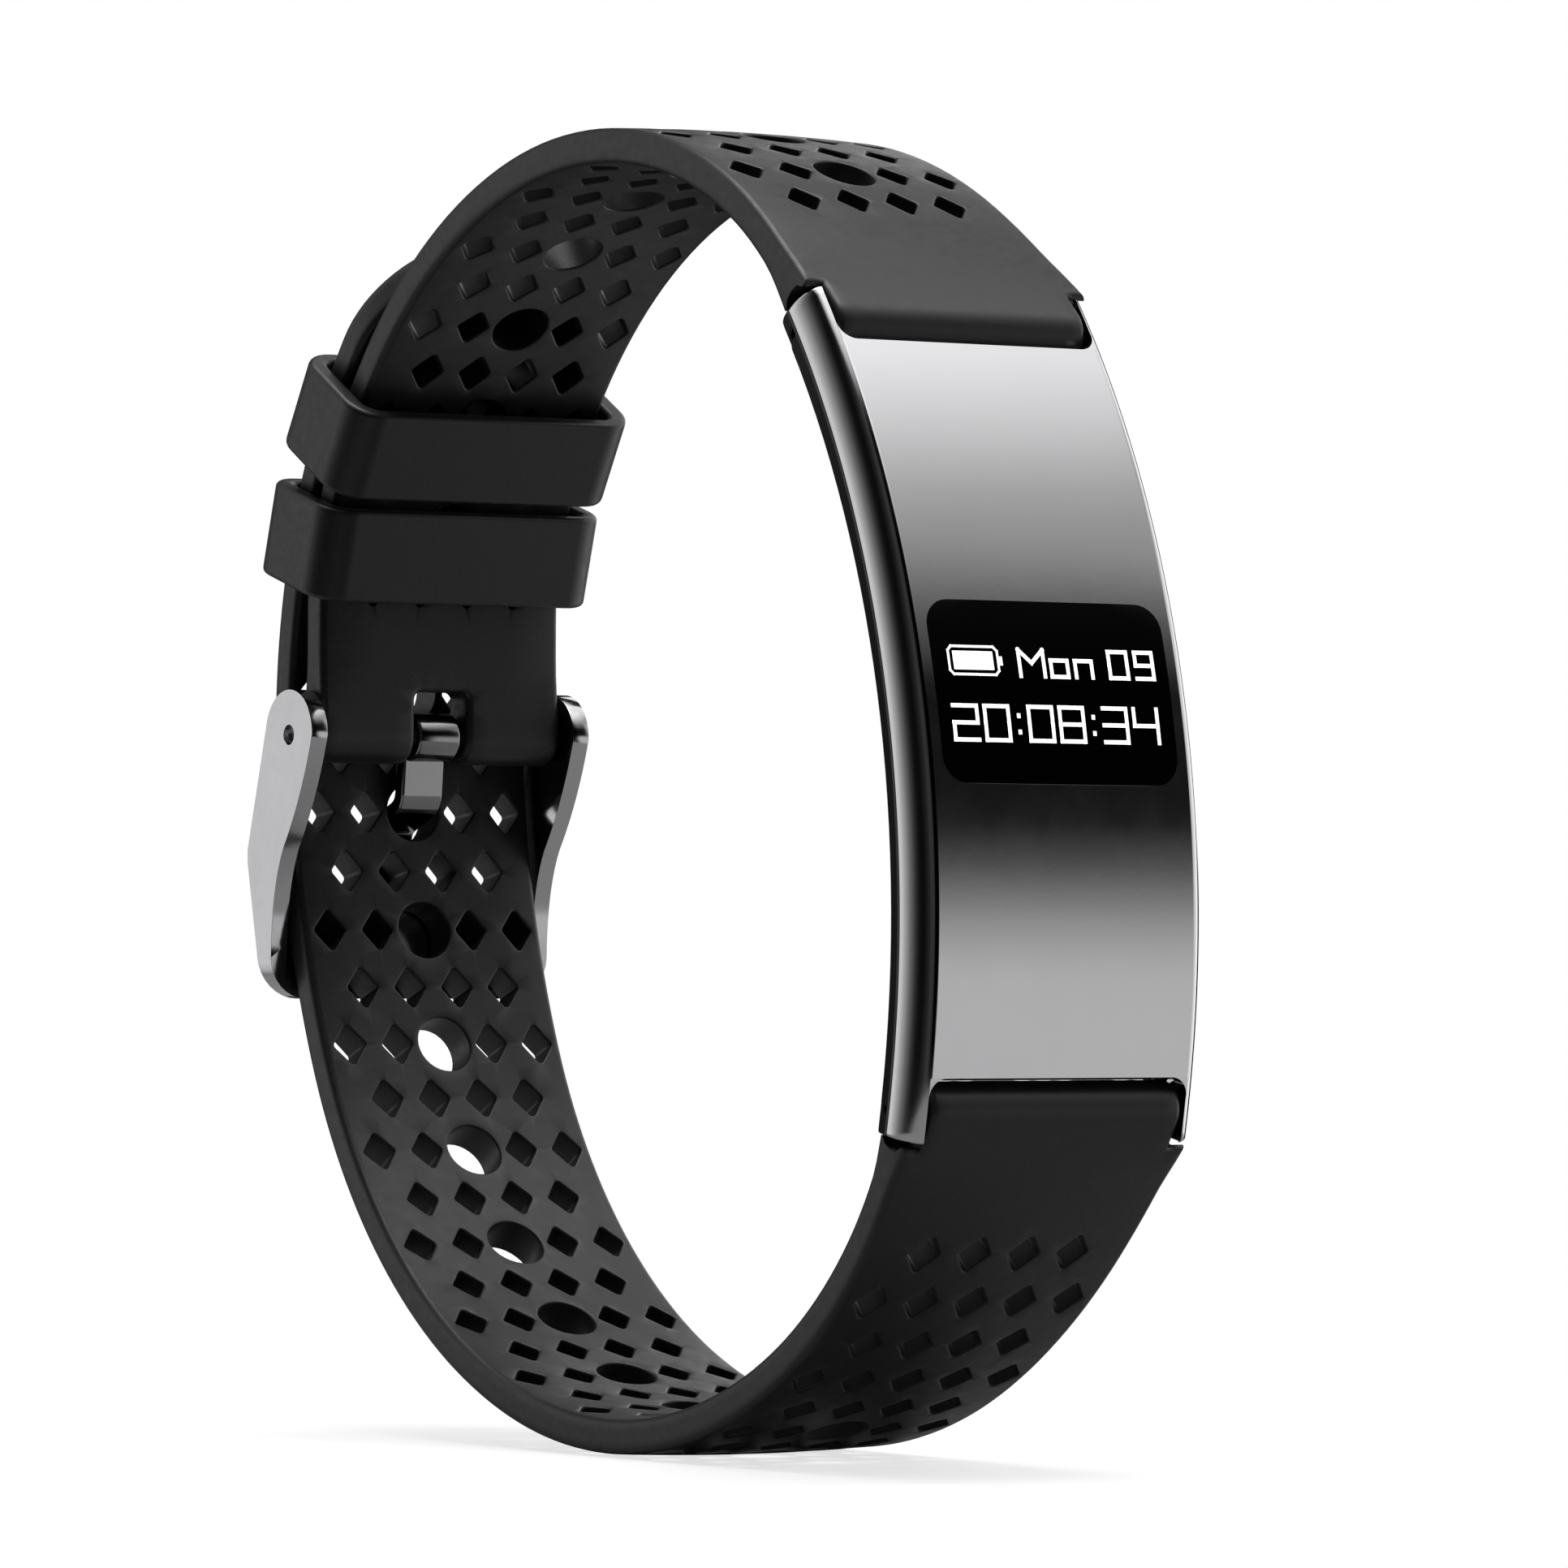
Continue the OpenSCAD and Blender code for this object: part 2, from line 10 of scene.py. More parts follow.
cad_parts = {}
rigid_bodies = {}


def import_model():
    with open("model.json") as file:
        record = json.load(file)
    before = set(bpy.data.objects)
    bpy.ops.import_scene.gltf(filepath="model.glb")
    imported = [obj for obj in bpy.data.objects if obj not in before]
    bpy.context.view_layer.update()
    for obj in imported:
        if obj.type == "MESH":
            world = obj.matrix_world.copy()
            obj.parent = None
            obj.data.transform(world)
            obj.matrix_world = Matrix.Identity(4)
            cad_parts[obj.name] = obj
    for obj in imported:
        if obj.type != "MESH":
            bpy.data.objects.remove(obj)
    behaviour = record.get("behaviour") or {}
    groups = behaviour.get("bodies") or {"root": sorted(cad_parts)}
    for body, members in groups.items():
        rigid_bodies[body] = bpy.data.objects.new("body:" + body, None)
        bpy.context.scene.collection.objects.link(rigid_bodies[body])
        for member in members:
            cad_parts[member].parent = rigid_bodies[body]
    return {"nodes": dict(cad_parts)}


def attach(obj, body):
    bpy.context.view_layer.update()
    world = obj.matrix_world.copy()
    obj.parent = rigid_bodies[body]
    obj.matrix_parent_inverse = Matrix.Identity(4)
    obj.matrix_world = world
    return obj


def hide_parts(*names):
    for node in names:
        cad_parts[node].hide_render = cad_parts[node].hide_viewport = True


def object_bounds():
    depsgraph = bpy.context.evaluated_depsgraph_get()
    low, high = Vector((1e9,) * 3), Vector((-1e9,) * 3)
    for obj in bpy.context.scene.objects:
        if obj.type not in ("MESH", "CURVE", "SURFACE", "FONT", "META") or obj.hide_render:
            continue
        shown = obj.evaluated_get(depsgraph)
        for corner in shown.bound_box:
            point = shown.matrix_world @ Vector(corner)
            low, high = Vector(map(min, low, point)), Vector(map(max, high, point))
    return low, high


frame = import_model()
cad_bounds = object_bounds()

# Lengths below are millimetres in the profile plane (y, z), as in the CAD source; MM turns them to metres.
# OY and OZ are the shared frame's origin in that plane. Angles are degrees, and DEG turns them to radians.
MM = 0.001
OY, OZ = 8.225, 1.65
DEG = 180 / math.pi


def vec(a):
    return np.array([math.cos(a / DEG), math.sin(a / DEG)])


def ang(v):
    return math.atan2(v[1], v[0]) * DEG


def row(x, p):
    """Row-frame point in metres from x and a profile point."""
    return (x * MM, (p[0] - OY) * MM, (p[1] - OZ) * MM)


def add_object(name, data):
    ob = bpy.data.objects.new(name, data)
    bpy.context.scene.collection.objects.link(ob)
    return ob


# -------- driving sizes
# front face: centre and radius of its arc, angle of the display's middle, span between the end cut-outs
FACE_T = np.array([30.3, -5.5])
FACE_R = 56.3
MID_A = 12.2
NOTCH_SPAN = 41.1
PLATE_HW, BODY_HW, NOTCH_HW = 8.05, 9.2, 8.2
RAIL_D = 2.0
STRAP_HW, STRAP_T = 8.0, 2.25
BARREL_R, BARREL_HL = 1.5, 7.95
ROW_P, HOLE_P = 3.55, 3.15
DIA_W, DIA_L, ADJ_R = 2.1, 2.65, 1.7
SHOULDER_R = 2.2

# the strap's arcs: centre, radius of the inner face and end angle of each
A, A_RI, A_END = np.array([5.9, -0.2]), 32.2, -23.6
B_RI, D_RI, TAIL_RI = 50.9, 35.44, 29.68
B = A - (B_RI - A_RI) * vec(A_END)
C1, C1_RI, C1_END = np.array([8.35, 6.95]), 28.75, 41
C2_RI, C2_END = 27.3, 18
C2 = C1 + (C1_RI - C2_RI) * vec(C1_END)
C3_RI = 12.7
C3 = C2 + (C2_RI - C3_RI) * vec(C2_END)
INNER_Y = C3[0] + C3_RI
span = C2 - B
BC = float(np.linalg.norm(span))
BD = ((B_RI - D_RI) ** 2 - (D_RI - TAIL_RI) ** 2 + BC**2) / (2 * BC)
BH = math.sqrt((B_RI - D_RI) ** 2 - BD**2)
D = B + BD * span / BC + BH * np.array([span[1], -span[0]]) / BC
B_END, D_END = ang(D - B), ang(C2 - D)
L0_A, L0_R, BAR_LO_A = 221.5, 50.0, 211.6
L0 = A + (A_RI + STRAP_T - L0_R) * vec(L0_A)
BAR_LO = L0 + (L0_R - BARREL_R) * vec(BAR_LO_A)
U0_A, U0_R, BAR_UP_A = 122.5, 45.0, 135.1
U0 = C1 + (C1_RI + STRAP_T - U0_R) * vec(U0_A)
BAR_UP = U0 + (U0_R - BARREL_R) * vec(BAR_UP_A)
TUBE_R = 1.57
PIN = np.array([INNER_Y + TUBE_R, 5.15])
# free end of the tail, standing a little off the short strap
E_A, E_RI, TIP_A = 36.5, 46.0, 38.0
E = C2 - (E_RI - TAIL_RI) * vec(E_A)

# -------- camera
# direction and roll, distance, and shift of the camera along its own right and up
CAM_AZ, CAM_EL, CAM_ROLL, CAM_D = 33.73, -1.06, 0.19, 493.5
CAM_RIGHT, CAM_UP = -0.31, 1.95
LENS, SENSOR = 208.6, 36.0
az, el, ro = CAM_AZ / DEG, CAM_EL / DEG, CAM_ROLL / DEG
fwd = np.array([math.sin(az) * math.cos(el), math.cos(az) * math.cos(el), -math.sin(el)])
r0 = np.array([math.cos(az), -math.sin(az), 0.0])
u0 = np.cross(r0, fwd)
right = r0 * math.cos(ro) + u0 * math.sin(ro)
up = -r0 * math.sin(ro) + u0 * math.cos(ro)
spot = (CAM_RIGHT * right + CAM_UP * up - CAM_D * fwd - np.array([0, OY, OZ])) * MM
cam_data = bpy.data.cameras.new("camera")
cam_data.lens, cam_data.sensor_width = LENS, SENSOR
cam_data.clip_start, cam_data.clip_end = 0.01, 20
camera = add_object("camera", cam_data)
camera.matrix_world = Matrix([[right[i], up[i], -fwd[i], spot[i]] for i in range(3)] + [[0, 0, 0, 1]])
bpy.context.scene.camera = camera


# -------- mesh helpers
def make(name, verts, faces, merge=0.0, smooth_deg=38, weighted=True):
    """Mesh object from row points in metres; merges doubles within merge mm, marks sharp edges by angle."""
    me = bpy.data.meshes.new(name)
    bm = bmesh.new()
    bv = [bm.verts.new(v) for v in verts]
    for f in faces:
        f = [i for k, i in enumerate(f) if i not in f[:k]]
        if len(f) > 2:
            try:
                bm.faces.new([bv[i] for i in f])
            except ValueError:
                pass
    if merge:
        bmesh.ops.remove_doubles(bm, verts=bm.verts, dist=merge * MM)
    bmesh.ops.delete(bm, geom=[v for v in bm.verts if not v.link_faces], context="VERTS")
    bmesh.ops.holes_fill(bm, edges=[e for e in bm.edges if e.is_boundary], sides=6)
    finish_bm(bm, me, smooth_deg)
    ob = add_object(name, me)
    if weighted:
        weigh(ob)
    return ob


def finish_bm(bm, me, smooth_deg):
    bmesh.ops.recalc_face_normals(bm, faces=bm.faces)
    for e in bm.edges:
        e.smooth = not (len(e.link_faces) == 2 and e.calc_face_angle(0) > smooth_deg / DEG)
    for f in bm.faces:
        f.smooth = True
    bm.to_mesh(me)
    bm.free()


def weigh(ob):
    m = ob.modifiers.new("weighted", "WEIGHTED_NORMAL")
    m.keep_sharp = True
    m.mode = "FACE_AREA"


# -------- strap surfaces
CROWN_DROP = 0.2
MARGIN_FROM, MARGIN_SLOPE = 5.6, 0.075


def crown(x):
    """Fall of the outer face from the middle towards its edges."""
    return CROWN_DROP * (x / STRAP_HW) ** 2


def margin(x):
    """Thinning of the inner face along its edges."""
    return MARGIN_SLOPE * max(0.0, abs(x) - MARGIN_FROM)


class Arc:
    """Stretch of strap on an arc: middle length, angle at its start, sense of turn."""

    def __init__(self, c, ri, a0, a1):
        self.c, self.ri, self.a0 = c, ri, a0
        self.sense = 1 if a1 > a0 else -1
        self.length = abs(a1 - a0) / DEG * (ri + STRAP_T / 2)

    def at(self, s):
        n = vec(self.a0 + self.sense * s / (self.ri + STRAP_T / 2) * DEG)
        return self.c + self.ri * n, self.c + (self.ri + STRAP_T) * n, n, n


class Straight:
    """Stretch hanging straight down to the pin."""

    def __init__(self, length):
        self.length = length

    def at(self, s):
        z = C3[1] - s
        n = np.array([1.0, 0.0])
        return np.array([INNER_Y, z]), np.array([INNER_Y + STRAP_T, z]), n, n


def round_circle(c, r, a0, a1, t):
    """Point and normal at share t of the way round a circle from a0 to a1."""
    n = vec(a0 + (a1 - a0) * t)
    return c + r * n, n


# turn of the outer face round the barrel before both faces meet
BARREL_WRAP = 110
# length over which the crown and the margin fade out towards the lug and the pin
FADE_FROM, FADE_L = 4, 3


class Strap:
    """Maps (x, s) to points of the inner and outer faces. s runs from the first row of holes;
    below 0 the faces part to wrap the barrel, and past the end of the upper strap they wrap the pin tube."""

    def __init__(self, arcs, bar, lug_c, lug_r, lug_a, bar_a, tube):
        self.arcs, self.bar, self.tube = arcs, bar, tube
        self.lug_c, self.lug_r, self.lug_a, self.bar_a = lug_c, lug_r, lug_a, bar_a
        self.total = sum(a.length for a in arcs)
        self.sense = arcs[0].sense
        c, ri = arcs[0].c, arcs[0].ri
        gap = float(np.linalg.norm(bar - c))
        meet = math.acos((ri**2 + gap**2 - BARREL_R**2) / (2 * ri * gap)) * DEG
        foot = ang(bar - c) % 360
        in_a = foot + self.sense * meet
        self.out_len = abs(bar_a - lug_a) / DEG * lug_r
        self.in_len = abs(in_a - lug_a) / DEG * (ri + STRAP_T / 2)
        # stations where the faces come within the shoulder radius of the bar
        self.sh_out = self.out_len - math.sqrt(SHOULDER_R**2 - BARREL_R**2)
        reach = math.acos((ri**2 + gap**2 - SHOULDER_R**2) / (2 * ri * gap)) * DEG
        self.sh_in = abs(foot + self.sense * reach - lug_a) / DEG * (ri + STRAP_T / 2)
        self.th_in = ang(c + ri * vec(in_a) - bar)
        # both faces run round the barrel to the same line
        turn = -self.sense
        end_a = bar_a + turn * BARREL_WRAP
        self.round_in = (turn * (self.th_in - end_a)) % 360 / DEG * BARREL_R
        self.low = -(self.out_len + BARREL_WRAP / DEG * BARREL_R)

    def lug(self, s):
        """Inner and outer points and normals between the first row of holes and the barrel."""
        turn = -self.sense
        q = -s
        if q <= self.out_len:
            n_o = vec(self.lug_a + turn * q / self.lug_r * DEG)
            p_o = self.lug_c + self.lug_r * n_o
        else:
            n_o = vec(self.bar_a + turn * (q - self.out_len) / BARREL_R * DEG)
            p_o = self.bar + BARREL_R * n_o
        if q <= self.sh_out:
            w = q * self.sh_in / self.sh_out
        else:
            rest = self.in_len - self.sh_in + self.round_in
            w = self.sh_in + (q - self.sh_out) * rest / (-self.low - self.sh_out)
        first = self.arcs[0]
        if w <= self.in_len:
            n_i = vec(self.lug_a + turn * w / (first.ri + STRAP_T / 2) * DEG)
            p_i = first.c + first.ri * n_i
        else:
            n_i = -vec(self.th_in - turn * (w - self.in_len) / BARREL_R * DEG)
            p_i = self.bar - BARREL_R * n_i
        return p_i, p_o, n_i, n_o

    def raw(self, s):
        """Inner and outer points and normals at s, before the crown and the margin."""
        if s < 0:
            return self.lug(s)
        for a in self.arcs:
            if s <= a.length or a is self.arcs[-1]:
                if s > a.length and self.tube:
                    return self.wrap(s - a.length)
                return a.at(s)
            s -= a.length

    def wrap(self, q):
        """Past the straight stretch: the outer face turns round the pin in front, the inner behind."""
        t = min(1.0, q / self.tube)
        up_a = math.acos((STRAP_T - TUBE_R) / TUBE_R) * DEG
        p_o, n_o = round_circle(PIN, TUBE_R, up_a, -90, t)
        drop = TUBE_R * math.sin(up_a / DEG)
        run = drop + math.pi / 2 * TUBE_R
        w = t * run
        if w < drop:
            p_i, n_i = np.array([INNER_Y, PIN[1] + drop - w]), np.array([1.0, 0.0])
        else:
            p_i, n = round_circle(PIN, TUBE_R, 180, 270, (w - drop) / (run - drop))
            n_i = -n
        return p_i, p_o, n_i, n_o

    def point(self, x, s, side, depth=0.0):
        """Point of the outer (side 1) or inner (side 0) face, sunk by depth."""
        p_i, p_o, n_i, n_o = self.raw(s)
        f = 1.0
        if s < -FADE_FROM:
            f = max(0.0, 1 - (-FADE_FROM - s) / (self.sh_out - FADE_FROM))
        if self.tube and s > self.total - FADE_L:
            f = max(0.0, 1 - (s - self.total + FADE_L) / FADE_L)
        f = f * f * (3 - 2 * f)
        if side:
            return p_o - n_o * (crown(x) * f + depth)
        return p_i + n_i * (margin(x) * f + depth)


lower_path = Strap(
    [Arc(A, A_RI, L0_A, A_END + 360), Arc(B, B_RI, A_END, B_END), Arc(D, D_RI, B_END, D_END),
     Arc(C2, TAIL_RI, D_END, E_A), Arc(E, E_RI, E_A, 60)],
    BAR_LO, L0, L0_R, L0_A, BAR_LO_A, 0,
)
STRAIGHT_L = C3[1] - PIN[1] - TUBE_R * math.sin(math.acos((STRAP_T - TUBE_R) / TUBE_R))
TUBE_L = 4.2
upper_path = Strap(
    [Arc(C1, C1_RI, U0_A, C1_END), Arc(C2, C2_RI, C1_END, C2_END), Arc(C3, C3_RI, C2_END, 0),
     Straight(STRAIGHT_L)],
    BAR_UP, U0, U0_R, U0_A, BAR_UP_A, TUBE_L,
)
# taper from the case to the parallel part: its length, and inner-face length per length at mid thickness
TAPER_L, INNER_SHARE = 21, 0.964


def half_width(s, shift):
    """Half width of a strap at s, where the taper starts at the case, shift before the first row of holes."""
    u = max(0.0, min(1.0, 1 - (s * INNER_SHARE + shift) / TAPER_L))
    return STRAP_HW + (BODY_HW - STRAP_HW) * u * u


def quarter(r, n):
    """Rounding of an edge from the face to the wall: (distance back from the edge, depth below the face)."""
    turns = [math.pi / 2 * i / n for i in range(n + 1)]
    return [(r * (1 - math.sin(t)), r * (1 - math.cos(t))) for t in turns]


RIM_R, EDGE_R = 0.13, 0.38
DIA_CORNER_R = 0.22
# distance from a diamond's middle to its sides
DIA_SIDE = (DIA_L / 2) * (DIA_W / 2) / math.hypot(DIA_L / 2, DIA_W / 2)


def diamond(cx, cs, grow):
    """Rounded diamond outline, grown outward."""
    rc, n = DIA_CORNER_R, 5
    k = (DIA_SIDE - rc) / DIA_SIDE
    centres = [(DIA_W / 2 * k, 0), (0, DIA_L / 2 * k), (-DIA_W / 2 * k, 0), (0, -DIA_L / 2 * k)]
    # side normals turn from one to the next round each corner
    side = math.atan2(DIA_W / 2, DIA_L / 2)
    starts = [-side, side, math.pi - side, math.pi + side]
    sweeps = [2 * side, math.pi - 2 * side] * 2
    out = []
    for (x, s), a0, sw in zip(centres, starts, sweeps):
        for i in range(n):
            a = a0 + sw * i / (n - 1)
            out.append((cx + x + (rc + grow) * math.cos(a), cs + s + (rc + grow) * math.sin(a)))
    return out


def circle(cx, cs, r, n=32):
    turns = [2 * math.pi * i / n for i in range(n)]
    return [(cx + r * math.cos(t), cs + r * math.sin(t)) for t in turns]


def holes(rows, first_round):
    """Rows of five and four holes as (x, s, is_round), with a round one in rows of five from first_round."""
    out = []
    for k in rows:
        n = 5 if k % 2 == 0 else 4
        for i in range(n):
            x = (i - (n - 1) / 2) * HOLE_P
            out.append((x, (k - 1) * ROW_P, n == 5 and i == 2 and k >= first_round))
    return out


# interior grid of a strap's faces, and how near its points come to edges and holes
GRID_HW, GRID_N = 8.2, 14
EDGE_GAP, HOLE_GAP = 0.3, 0.28
# holes farther along than this are never near a point
HOLE_REACH = 3
WALL_ROWS = 4


def build_strap(name, path, boundary, hole_list, steps):
    """boundary: the outline's points, (x, s, nx, ns) with the outward normal on free edges and (x, s) on
    welded lines, where both faces meet. steps: stations of the interior grid."""
    edge = quarter(EDGE_R, 4)
    rim = quarter(RIM_R, 3)
    verts, faces = [], []

    def add(x, s, side, depth=0.0):
        verts.append(row(x, path.point(x, s, side, depth)))
        return len(verts) - 1

    def skin(first, second):
        for a, b, c, d in zip(first, first[1:], second[1:], second):
            faces.append([a, b, c, d])

    # outline of the triangulated region: free edges stepped back, welded lines as they are
    flat = [q if len(q) == 2 else (q[0] - q[2] * EDGE_R, q[1] - q[3] * EDGE_R) for q in boundary]
    loops = []
    for x, s, is_round in hole_list:
        loops.append(circle(x, s, ADJ_R + RIM_R) if is_round else diamond(x, s, RIM_R))
    pts = list(flat)
    edges = [(i, (i + 1) % len(flat)) for i in range(len(flat))]
    for lp in loops:
        b = len(pts)
        pts += lp
        edges += [(b + i, b + (i + 1) % len(lp)) for i in range(len(lp))]
    fa = np.array(flat)
    fb = np.roll(fa, -1, axis=0)

    def on_shoulder(s):
        return abs(s + path.sh_out) < 1e-6

    def inside(x, s):
        c = (fa[:, 1] > s) != (fb[:, 1] > s)
        with np.errstate(divide="ignore", invalid="ignore"):
            xc = (fb[:, 0] - fa[:, 0]) * (s - fa[:, 1]) / (fb[:, 1] - fa[:, 1]) + fa[:, 0]
        return np.count_nonzero(c & (x < xc)) % 2 == 1

    def near_edge(x, s, gap):
        d = fb - fa
        l2 = (d**2).sum(1) + 1e-12
        t = np.clip(((np.array([x, s]) - fa) * d).sum(1) / l2, 0, 1)
        q = fa + d * t[:, None]
        return np.min(np.hypot(q[:, 0] - x, q[:, 1] - s)) < gap

    def in_hole(x, s, gap):
        for hx, hs, is_round in hole_list:
            if abs(hs - s) > HOLE_REACH:
                continue
            if is_round:
                if math.hypot(x - hx, s - hs) < ADJ_R + RIM_R + gap:
                    return True
            elif (abs(x - hx) / (DIA_W / 2) + abs(s - hs) / (DIA_L / 2)) * DIA_SIDE < DIA_SIDE + RIM_R + gap:
                return True
        return False

    for s in steps:
        for x in np.linspace(-GRID_HW, GRID_HW, GRID_N):
            if inside(x, s) and not near_edge(x, s, EDGE_GAP) and not in_hole(x, s, HOLE_GAP):
                pts.append((float(x), float(s)))
    res = delaunay_2d_cdt([Vector(p) for p in pts], edges, [], 0, 1e-7)
    out_pts, tris = res[0], res[2]
    origin = {}
    for new, olds in enumerate(res[3]):
        for o in olds:
            origin[o] = new
    # a triangle with all its corners on one hole's outline fills that hole
    loop_of, k = {}, len(flat)
    for h, lp in enumerate(loops):
        for i in range(len(lp)):
            loop_of[origin[k + i]] = h
        k += len(lp)
    keep = []
    for t in tris:
        cx = sum(out_pts[i][0] for i in t) / 3
        cs = sum(out_pts[i][1] for i in t) / 3
        owners = {loop_of.get(i, -1) for i in t}
        if inside(cx, cs) and (len(owners) > 1 or -1 in owners):
            keep.append(t)
    face_v = []
    for side in (0, 1):
        base = [add(p[0], p[1], side) for p in out_pts]
        face_v.append(base)
        faces.extend([[base[i] for i in t] for t in keep])
    # free edges: rounding rings on each face, then the wall
    n = len(flat)
    columns = {}
    for i, q in enumerate(boundary):
        if len(q) == 2:
            continue
        x, s, nx, ns = q
        col = [face_v[1][origin[i]]]
        col += [add(x - nx * o, s - ns * o, 1, d) for o, d in edge[1:]]
        a, b = np.array(verts[col[-1]]), np.array(row(x, path.point(x, s, 0, edge[-1][1])))
        for w in range(1, WALL_ROWS):
            p = a + (b - a) * w / WALL_ROWS
            # the shoulder's wall is hollowed round the bar, clear of the case
            if on_shoulder(s):
                c = np.array(row(0, path.bar))
                v = p[1:] - c[1:]
                p[1:] = c[1:] + v / np.linalg.norm(v) * SHOULDER_R * MM
            verts.append(tuple(p))
            col.append(len(verts) - 1)
        col += [add(x - nx * o, s - ns * o, 0, d) for o, d in edge[:0:-1]]
        col.append(face_v[0][origin[i]])
        columns[i] = col
    for i in range(n):
        j = (i + 1) % n
        if i in columns and j in columns:
            skin(columns[i], columns[j])
    # hole walls
    start = len(flat)
    for (hx, hs, is_round), lp in zip(hole_list, loops):
        m = len(lp)
        cols = []
        rings_o = [lp] + [circle(hx, hs, ADJ_R + o) if is_round else diamond(hx, hs, o) for o, d in rim[1:]]
        for i in range(m):
            col = [face_v[1][origin[start + i]]]
            col += [add(*rings_o[k][i], 1, rim[k][1]) for k in range(1, len(rim))]
            col += [add(*rings_o[k][i], 0, rim[k][1]) for k in range(len(rim) - 1, 0, -1)]
            col.append(face_v[0][origin[start + i]])
            cols.append(col)
        for i in range(m):
            skin(cols[i], cols[(i + 1) % m])
        start += m
    return make(name, verts, faces, merge=0.004, smooth_deg=50)


def side_line(shift, s_from, s_to, n):
    """Right-hand free edge of a strap between two stations."""
    stations = [s_from + (s_to - s_from) * i / n for i in range(n + 1)]
    return [(half_width(s, shift), s, 1, 0.0) for s in stations]


def lug_line(path, shift):
    """Right-hand free edge from the barrel's welded line up to the shoulder's outer corner."""
    sh, low = -path.sh_out, path.low
    out = [(BARREL_HL, low + (sh - low) * i / 14, 1, 0.0) for i in range(14)]
    out.append((BARREL_HL, sh, 1, -1.0))
    hw = half_width(sh, shift)
    out += [(BARREL_HL + (hw - BARREL_HL) * t, sh, 0.0, -1.0) for t in (0.35, 0.65)]
    out.append((hw, sh, 1, -1.0))
    return out


def mirrored(line):
    """The same free edge on the left, running back."""
    return [(-x, s, -nx, ns) for x, s, nx, ns in reversed(line)]


def weld_line(x0, x1, s, n=10):
    return [(x0 + (x1 - x0) * i / n, s) for i in range(1, n)]


def lug_steps(path):
    """Grid stations round the barrel and from the barrel to the first row of holes."""
    around = [path.low + (-path.out_len - path.low) * i / 9 for i in range(1, 10)]
    web = [-path.out_len + path.out_len * i / 9 for i in range(1, 9)]
    return around + web


# distance from the case to the first row of holes, and from the shoulder to the first edge station
UP_SHIFT, LO_SHIFT = 8.98, 8.38
CORNER_GAP = 0.9
GRID_STEP, GRID_START = 1.15, 0.6

# upper strap, with a slot for the tongue in its pin tube
SLOT_HW, SLOT_C, SLOT_TOP = 1.765, 0.5, 7.75
slot_s = upper_path.total - STRAIGHT_L + (C3[1] - SLOT_TOP)
end_s = upper_path.total + TUBE_L
u_right = lug_line(upper_path, UP_SHIFT)
u_right += side_line(UP_SHIFT, -upper_path.sh_out + CORNER_GAP, upper_path.total, 64)
u_right += [(STRAP_HW, upper_path.total + TUBE_L * i / 10, 1, 0.0) for i in range(1, 11)]
slot = [(SLOT_HW, end_s - (end_s - slot_s - SLOT_C) * i / 12, -1, 0.0) for i in range(13)]
for i in range(1, 6):
    a = math.pi / 2 * i / 6
    co, si = math.cos(a), math.sin(a)
    slot.append((SLOT_HW - SLOT_C + SLOT_C * co, slot_s + SLOT_C - SLOT_C * si, -co, si))
slot += [((SLOT_HW - SLOT_C) * (1 - t), slot_s, 0.0, 1.0) for t in (0.0, 0.5, 1.0)]
slot += mirrored(slot[:-1])
upper_edges = u_right + weld_line(STRAP_HW, SLOT_HW, end_s, 5) + slot
upper_edges += weld_line(-SLOT_HW, -STRAP_HW, end_s, 5) + mirrored(u_right)
upper_edges += weld_line(-BARREL_HL, BARREL_HL, upper_path.low)
u_steps = lug_steps(upper_path)
u_steps += [GRID_START + GRID_STEP * i for i in range(int(upper_path.total / GRID_STEP))]
u_steps += [upper_path.total + TUBE_L * i / 9 for i in range(1, 9)]
upper_strap = build_strap("upper_strap_body", upper_path, upper_edges, holes(range(1, 18), 2), u_steps)

# lower strap with its round tail tip
tip_s = sum(a.length for a in lower_path.arcs[:4]) + (TIP_A - E_A) / DEG * (E_RI + STRAP_T / 2)
l_right = lug_line(lower_path, LO_SHIFT)
l_right += side_line(LO_SHIFT, -lower_path.sh_out + CORNER_GAP, tip_s, 120)
tip = [
    (STRAP_HW * math.cos(a), tip_s + STRAP_HW * math.sin(a), math.cos(a), math.sin(a))
    for a in [math.pi * i / 40 for i in range(1, 40)]
]
lower_edges = l_right + tip + mirrored(l_right)
lower_edges += weld_line(-BARREL_HL, BARREL_HL, lower_path.low)
l_steps = lug_steps(lower_path)
l_steps += [GRID_START + GRID_STEP * i for i in range(int((tip_s + STRAP_HW - 1) / GRID_STEP))]
lower_strap = build_strap("lower_strap_body", lower_path, lower_edges, holes(range(1, 33), 6), l_steps)
for ob, node in ((upper_strap, "upper_strap"), (lower_strap, "lower_strap")):
    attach(ob, "strap_loop")
    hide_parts(node)


# -------- rings and bars
def offset_loop(pts, d):
    """Closed outline moved outward by d along its vertex normals (outline is counter-clockwise)."""
    a = np.array(pts, float)
    t = np.roll(a, -1, 0) - np.roll(a, 1, 0)
    t /= np.linalg.norm(t, axis=1)[:, None]
    n = np.stack([t[:, 1], -t[:, 0]], 1)
    return a + n * d


def rounded_rect(w, h, r, n=8):
    out = []
    for cx, cy, a0 in ((1, -1, -90), (1, 1, 0), (-1, 1, 90), (-1, -1, 180)):
        for i in range(n + 1):
            out.append(np.array([cx * (w / 2 - r), cy * (h / 2 - r)]) + r * vec(a0 + 90 * i / n))
    return out


